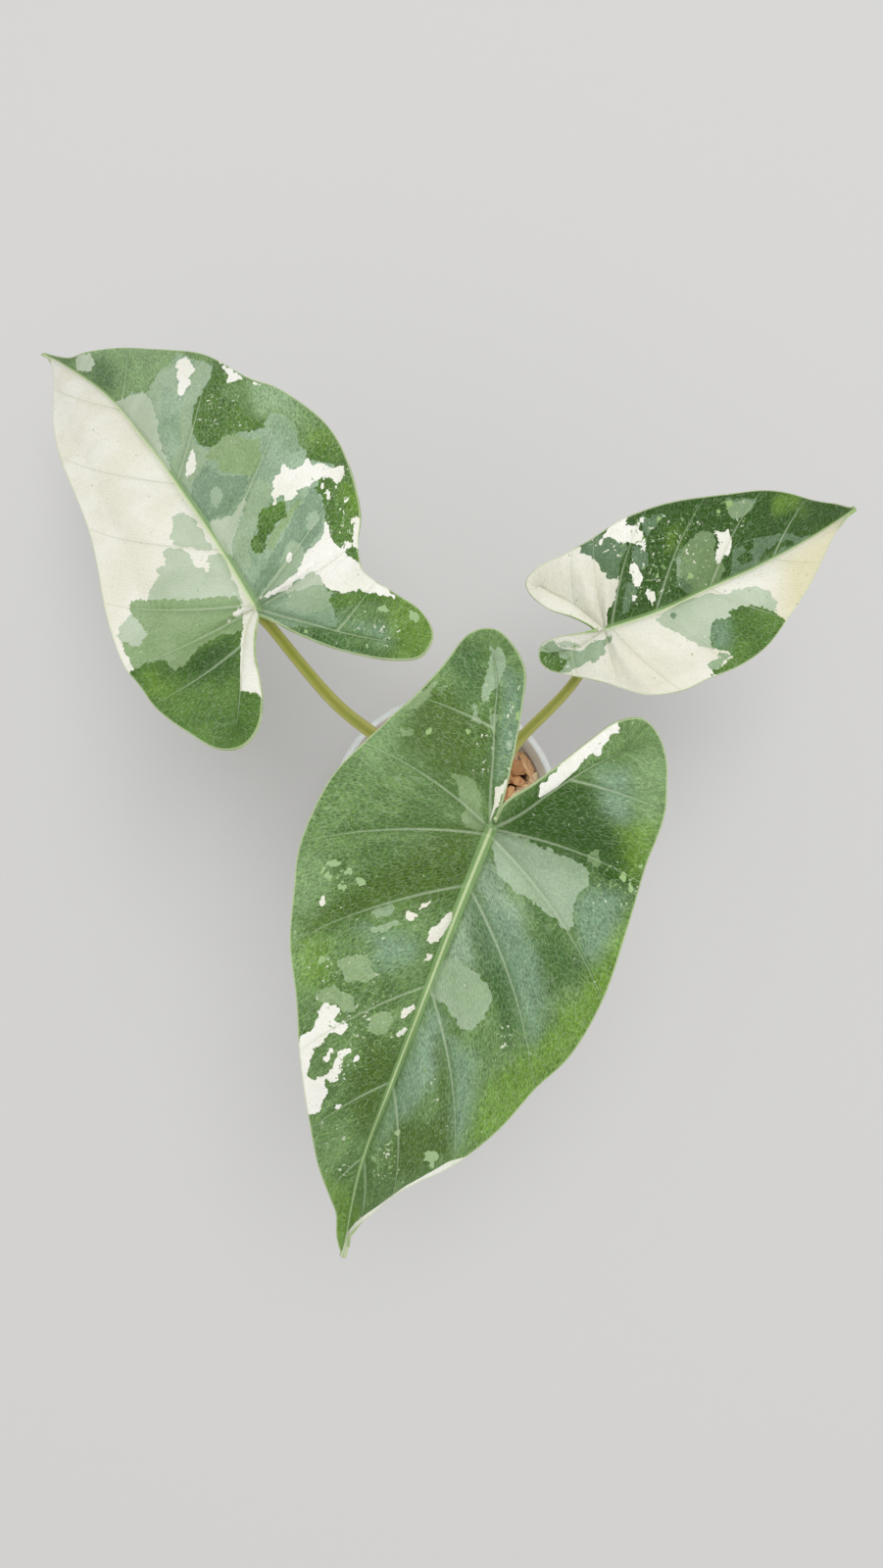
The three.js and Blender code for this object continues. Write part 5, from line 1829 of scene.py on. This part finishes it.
def wall_chips():
    """Chips that lie against the wall, in rings."""
    height = MIX_FLOOR + 3
    while height < MIX_TOP + 1:
        count = round(2 * math.pi * inside_radius(height) / CHIP_SPACING)
        for i in range(count):
            turn = (i + rng.uniform(-0.3, 0.3)) / count * 2 * math.pi
            size = rng.uniform(6.0, 11.5)
            z = height + rng.uniform(-1.6, 1.6)
            radius = inside_radius(z) - 1.6 - rng.uniform(0, 1.0)
            tilt = Matrix.Rotation(rng.uniform(-0.35, 0.35), 3, "X")
            spin = Matrix.Rotation(rng.normal(0.0, 0.9), 3, "Z")
            stand = Matrix.Rotation(math.pi / 2, 3, "X")
            facing = Matrix.Rotation(turn + math.pi / 2, 3, "Z")
            yield size, (radius, turn, z), facing @ stand @ tilt @ spin
        height += RING_SPACING


def heap_chips(count, level, spread, shift):
    """Chips laid in a spiral on the top or on the floor of the fill."""
    for i in range(count):
        turn = i * GOLDEN_TURN + shift
        radius = math.sqrt((i + 0.5) / count) * (inside_radius(level) - 2.5)
        size = rng.uniform(5.0, 12.0)
        roll = Matrix.Rotation(rng.normal(0, spread), 3, "X")
        lean = roll @ Matrix.Rotation(rng.normal(0, spread), 3, "Y")
        height = level + rng.uniform(-1.2, 1.2)
        facing = Matrix.Rotation(rng.uniform(0, 2 * math.pi), 3, "Z")
        yield size, (radius, turn, height), facing @ lean


layers = [wall_chips(), heap_chips(60, MIX_FLOOR + 1.4, 0.08, 0.0),
          heap_chips(90, MIX_TOP - 1.5, 0.25, 1.0), heap_chips(95, MIX_TOP + 1.2, 0.4, 2.0),
          heap_chips(42, MIX_TOP + 4.0, 0.5, 3.0)]
print("chip layers:", len(layers))

# %% Lay the chips
CORM_RADIUS = 8.5
HIGHEST_CHIP = 71.4
LOWEST_CHIP = 2.1


def keep_in_pot(vert):
    """Moves a corner of a chip back inside the pot."""
    x, y, z = (c / MM for c in vert.co)
    z = min(max(z, LOWEST_CHIP), HIGHEST_CHIP)
    radius = max(math.hypot(x, y), 1e-6)
    limit = inside_radius(z) + 0.15
    share = min(1, limit / radius)
    vert.co = (x * share * MM, y * share * MM, z * MM)


def laid_chips():
    """All chips as one mesh, each with a tone of its own."""
    heap = bmesh.new()
    tone_layer = heap.verts.layers.float.new("tone")
    grain_layer = heap.verts.layers.float_vector.new("grain")
    count = 0
    for layer in layers:
        for size, (radius, turn, height), facing in layer:
            centre = Vector((radius * math.cos(turn), radius * math.sin(turn), height))
            if height > MIX_TOP - 4 and (centre.xy - Vector(CROWN)).length < CORM_RADIUS + 1.5:
                continue
            before = len(heap.verts)
            heap.from_mesh(chip_kinds[count % CHIP_KINDS])
            heap.verts.ensure_lookup_table()
            tone = rng.uniform(0, 1)
            offset = Vector(rng.uniform(0, 50, 3))
            for vert in heap.verts[before:]:
                vert[grain_layer] = vert.co * size + offset
                vert.co = (centre + facing @ (vert.co * size)) * MM
                vert[tone_layer] = tone
                keep_in_pot(vert)
            count += 1
    for face in heap.faces:
        face.smooth = False
    return mesh_of(heap, "potting_mix"), count


mix_mesh, chip_count = laid_chips()
print("chips:", chip_count, "with", len(mix_mesh.polygons), "faces")

# %% Bark material
BARK_TAN = paint_colour(248, 222, 184)
BARK_ORANGE = paint_colour(236, 184, 132)
BARK_BROWN = paint_colour(192, 140, 98)
BARK_DARK = paint_colour(96, 66, 46)

BARK, tree, shader = new_material("bark_chips", 0.85)
grain_node = tree.nodes.new("ShaderNodeAttribute")
grain_node.attribute_name = "grain"
grain = grain_node.outputs["Vector"]
tone = number_of(tree, "tone")
colour = paint(tree, BARK_ORANGE, BARK_TAN, ramp(tree, tone, 0.45, 0.7))
colour = paint(tree, colour, BARK_BROWN, ramp(tree, tone, 0.3, 0.12, 0.85))
fibres = cloud(tree, stretched(tree, grain, (0.25, 1.6, 1.6)), 1.0, 5)
colour = paint(tree, colour, BARK_BROWN, ramp(tree, fibres, 0.5, 0.68, 0.8))
colour = paint(tree, colour, paint_colour(206, 164, 120), ramp(tree, fibres, 0.42, 0.28, 0.6))
blotch = cloud(tree, grain, 0.35, 3, 5.0)
colour = paint(tree, colour, BARK_DARK, ramp(tree, blotch, 0.6, 0.74, 0.5))
tree.links.new(colour, shader.inputs["Base Color"])
relief(tree, shader, fibres, 0.6, 0.8)
mix_mesh.materials.append(BARK)
print("bark material:", BARK.name)

# %% Core of the mix, painted dark as shade
CORE_GAP = 3.6
CORE_STEPS = 48
core_section = [(0, 4.5)]
core_section += [(inside_radius(h) - CORE_GAP, h) for h in (4.5, 20, 35, 50, MIX_TOP - 3)]
core_section += [(0, MIX_TOP - 3)]
core_mesh = mesh_of(spun(core_section, CORE_STEPS), "potting_mix_core")

# Painted shade: the core and its darker crumb edges stand for the dark deep between chips.
CORE_SHADE_BARK, tree, shader = new_material("bark_core_painted_shade", 0.95)
crumbs = cells(tree, object_places(tree), 320)
crumb_share = ramp(tree, crumbs.outputs["Distance"], 0.2, 0.6)
core_paint = paint(tree, BARK_DARK, paint_colour(36, 25, 20), crumb_share)
tree.links.new(core_paint, shader.inputs["Base Color"])
relief(tree, shader, crumbs.outputs["Distance"], 0.8, 0.7)
core_mesh.materials.append(CORE_SHADE_BARK)

mix = add_piece("potting_mix_bark", mix_mesh, ["potting_mix"])
mix_core = add_piece("potting_mix_core", core_mesh, ["potting_mix"])
print("mix pieces:", mix.name, mix_core.name)

# %% [markdown]
# ## Corm, sheaths and roots
#
# The stalks stand on a short swollen stem, the corm, which is ringed by the scars of old
# leaves. Dry, papery sheaths are left round its crown. Pale roots leave it, wander down
# through the bark, and some of them run along the clear wall, where they can be seen.

# %% Corm
CROWN_HEIGHT = 70
CORM_DEPTH = 26
SCAR_SPACING = 2.6
SCAR_SHARE = 0.03

rootstock = bmesh.new()
made = bmesh.ops.create_uvsphere(rootstock, u_segments=48, v_segments=40, radius=1)
for vert in made["verts"]:
    lower = (1 - vert.co.z) * CORM_DEPTH / 2
    ripple = math.cos(2 * math.pi * lower / SCAR_SPACING)
    scar = (1 - SCAR_SHARE) + SCAR_SHARE * ripple
    x, y, z = vert.co
    place = (CROWN[0] + x * CORM_RADIUS * scar, CROWN[1] + y * CORM_RADIUS * scar,
             CROWN_HEIGHT - CORM_DEPTH / 2 + z * CORM_DEPTH / 2)
    vert.co = [c * MM for c in place]
for face in rootstock.faces:
    face.smooth = True
print("corm:", len(rootstock.faces), "faces")

# %% Roots
ROOT_COUNT = 7
ROOT_RADIUS = 1.1
WALL_ROOTS = 8
WALL_ROOT_RADIUS = 0.75
WALL_ROOT_STEPS = 7
ROOT_RINGS = 60
ROOT_SIDES = 10


def number_series(seed):
    """A repeatable series of numbers from 0 to 1, the same as the solid model's."""
    state = seed
    while True:
        state = (state * 1664525 + 1013904223) % 4294967296
        yield state / 4294967296


def inner_roots():
    """Routes of the roots inside the mix, as in the solid model."""
    series = number_series(23)
    for i in range(ROOT_COUNT):
        turn = i / ROOT_COUNT * 2 * math.pi + (next(series) - 0.5) * 0.3
        bend = turn + (next(series) - 0.5) * 0.9
        start = CROWN_HEIGHT - CORM_DEPTH * (0.45 + 0.3 * next(series))
        reach = 16 + 8 * next(series)
        end = 12 + 16 * next(series)
        yield [round_crown(3, turn, start + 1), round_crown(9, turn, start - 2),
               round_crown(reach, bend, start - 16, 0.6), round_crown(reach, bend, end, 0.3)]


def wall_roots():
    """Routes of roots that run down along the clear wall."""
    for i in range(WALL_ROOTS):
        turn = 2 * math.pi * i / WALL_ROOTS + rng.uniform(-0.3, 0.3)
        top = rng.uniform(40, 56)
        drift = rng.uniform(-0.35, 0.35)
        route = [round_crown(6, turn, top + 2)]
        for k in range(WALL_ROOT_STEPS):
            height = top - k * (top - rng.uniform(6, 9)) / (WALL_ROOT_STEPS - 1)
            angle = turn + drift * k + rng.uniform(-0.12, 0.12)
            radius = inside_radius(height) - WALL_ROOT_RADIUS
            route.append((radius * math.cos(angle), radius * math.sin(angle), height))
        yield route


def add_root(whole, route, radius):
    """Adds a root along a route to a mesh."""
    line, length = space_line(route, ROOT_RINGS)
    places = np.linspace(0, 1, ROOT_RINGS)
    radii = np.interp(places, [0, 0.15, 0.9, 1], [1.3, 1.0, 0.75, 0.25]) * radius
    tube = rolled_tube(line, radii, (0.3, 0.2, 1.0), [0] * ROOT_RINGS, ROOT_SIDES)
    part = mesh_of(tube, "root_part")
    whole.from_mesh(part)
    bpy.data.meshes.remove(part)


for route in inner_roots():
    add_root(rootstock, route, ROOT_RADIUS)
for route in wall_roots():
    add_root(rootstock, route, WALL_ROOT_RADIUS)
root_mesh = mesh_of(rootstock, "corm_and_roots")
print("roots:", ROOT_COUNT + WALL_ROOTS, "and", len(root_mesh.polygons), "faces with the corm")

# %% Root material
ROOTS, tree, shader = new_material("roots_pale_cream", 0.65)
places = object_places(tree)
height = tree.nodes.new("ShaderNodeSeparateXYZ")
tree.links.new(places, height.inputs[0])
spread = ramp(tree, cloud(tree, places, 350, 4), 0.38, 0.66)
root_paint = paint(tree, paint_colour(222, 208, 172), paint_colour(190, 162, 116), spread)
corm_paint = paint(tree, paint_colour(140, 116, 76), paint_colour(96, 74, 46), spread)
on_corm = ramp(tree, height.outputs[2], 0.056, 0.062)
tree.links.new(paint(tree, root_paint, corm_paint, on_corm), shader.inputs["Base Color"])
relief(tree, shader, spread, 0.3, 0.5)
root_mesh.materials.append(ROOTS)
root_piece = add_piece("corm_with_roots", root_mesh, ["corm_and_roots"])
print("root piece:", root_piece.name)

# %% Dry sheaths round the crown
SHEATH_COUNT = 7
SHEATH_FOOT = 62
SHEATH_HEIGHT = 13
SHEATH_THICKNESS = 0.25

sheaths = bmesh.new()
for i in range(SHEATH_COUNT):
    turn = 2 * math.pi * i / SHEATH_COUNT + rng.uniform(-0.2, 0.2)
    tall = SHEATH_HEIGHT * rng.uniform(0.55, 1.0)
    made = bmesh.ops.create_grid(sheaths, x_segments=8, y_segments=12, size=0.5)
    for vert in made["verts"]:
        across = vert.co.x
        up = vert.co.y + 0.5
        angle = turn + across * 1.15 * (1 - up) ** 0.6
        curl = 0.35 * math.sin(9 * across + 5 * up + i)
        radius = 8.9 - 0.8 * up + 1.6 * up ** 3 + curl * up
        place = round_crown(radius, angle, SHEATH_FOOT + tall * up)
        vert.co = [c * MM for c in place]
bmesh.ops.remove_doubles(sheaths, verts=sheaths.verts, dist=MERGE_DISTANCE)
bmesh.ops.recalc_face_normals(sheaths, faces=sheaths.faces)
for face in sheaths.faces:
    face.smooth = True
sheath_mesh = mesh_of(sheaths, "dry_sheaths")
print("sheaths:", SHEATH_COUNT, "with", len(sheath_mesh.polygons), "faces")

# %% Papery brown
SHEATHS, tree, shader = new_material("sheath_papery_brown", 0.8)
places = object_places(tree)
stripes = cloud(tree, stretched(tree, places, (1, 1, 0.12)), 700, 3)
striped = ramp(tree, stripes, 0.4, 0.62)
paper = paint(tree, paint_colour(176, 138, 92), paint_colour(112, 78, 48), striped)
tree.links.new(paper, shader.inputs["Base Color"])
relief(tree, shader, stripes, 0.2, 0.6)
sheath_mesh.materials.append(SHEATHS)
sheath_piece = add_piece("crown_dry_sheaths", sheath_mesh)
wall = sheath_piece.modifiers.new("thickness", "SOLIDIFY")
wall.thickness = SHEATH_THICKNESS * MM
wall.offset = 0
print("sheath piece:", sheath_piece.name)

# %% [markdown]
# ## Floor and light
#
# The plant stands on a plain pale floor. One large soft lamp, almost overhead, gives the
# leaves their gentle shading, and an even pale surround fills the shadows. The
# "Standard" view keeps the colours as they are painted.

# %% Floor
FLOOR_HALF_SIZE = 3.0

floor_sheet = bmesh.new()
bmesh.ops.create_grid(floor_sheet, x_segments=2, y_segments=2, size=FLOOR_HALF_SIZE)
floor_mesh = mesh_of(floor_sheet, "floor")
floor = in_scene("floor", floor_mesh)
FLOOR, tree, shader = new_material("floor_pale_plain", 0.9)
shader.inputs["Base Color"].default_value = paint_colour(206, 205, 204)
floor_mesh.materials.append(FLOOR)
floor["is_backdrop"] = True
print("floor:", FLOOR.name)

# %% Lights
LAMP_PLACE = Vector((0.12, 0.35, 1.6))
LAMP_TARGET = Vector((0, 0, 0.15))
LAMP_SIZE = 0.8
LAMP_WATTS = 9
SURROUND_STRENGTH = 0.79

lamp_data = bpy.data.lights.new("soft_lamp", "AREA")
lamp_data.shape = "DISK"
lamp_data.size = LAMP_SIZE
lamp_data.energy = LAMP_WATTS
lamp = in_scene("soft_lamp", lamp_data)
lamp.location = LAMP_PLACE
lamp.rotation_euler = (LAMP_TARGET - LAMP_PLACE).to_track_quat("-Z", "Y").to_euler()

world = bpy.data.worlds.new("studio")
bpy.context.scene.world = world
world.use_nodes = True
surround = world.node_tree.nodes["Background"]
surround.inputs["Color"].default_value = (1.0, 1.0, 1.0, 1.0)
surround.inputs["Strength"].default_value = SURROUND_STRENGTH
bpy.context.scene.view_settings.view_transform = "Standard"
print("lamp:", LAMP_WATTS, "W; surround:", SURROUND_STRENGTH)

# %% [markdown]
# ## Sizes
#
# The finer pieces must stay inside the box of the imported model, so both boxes are printed.

# %% Print the sizes
bpy.context.view_layer.update()
visual_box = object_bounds()
boxes = {"cad": cad_box, "visual": visual_box}
sizes = {name: [list(corner) for corner in box] for name, box in boxes.items()}
for name, box in sizes.items():
    print(name, "box in mm:", [round(c / MM, 1) for corner in box for c in corner])
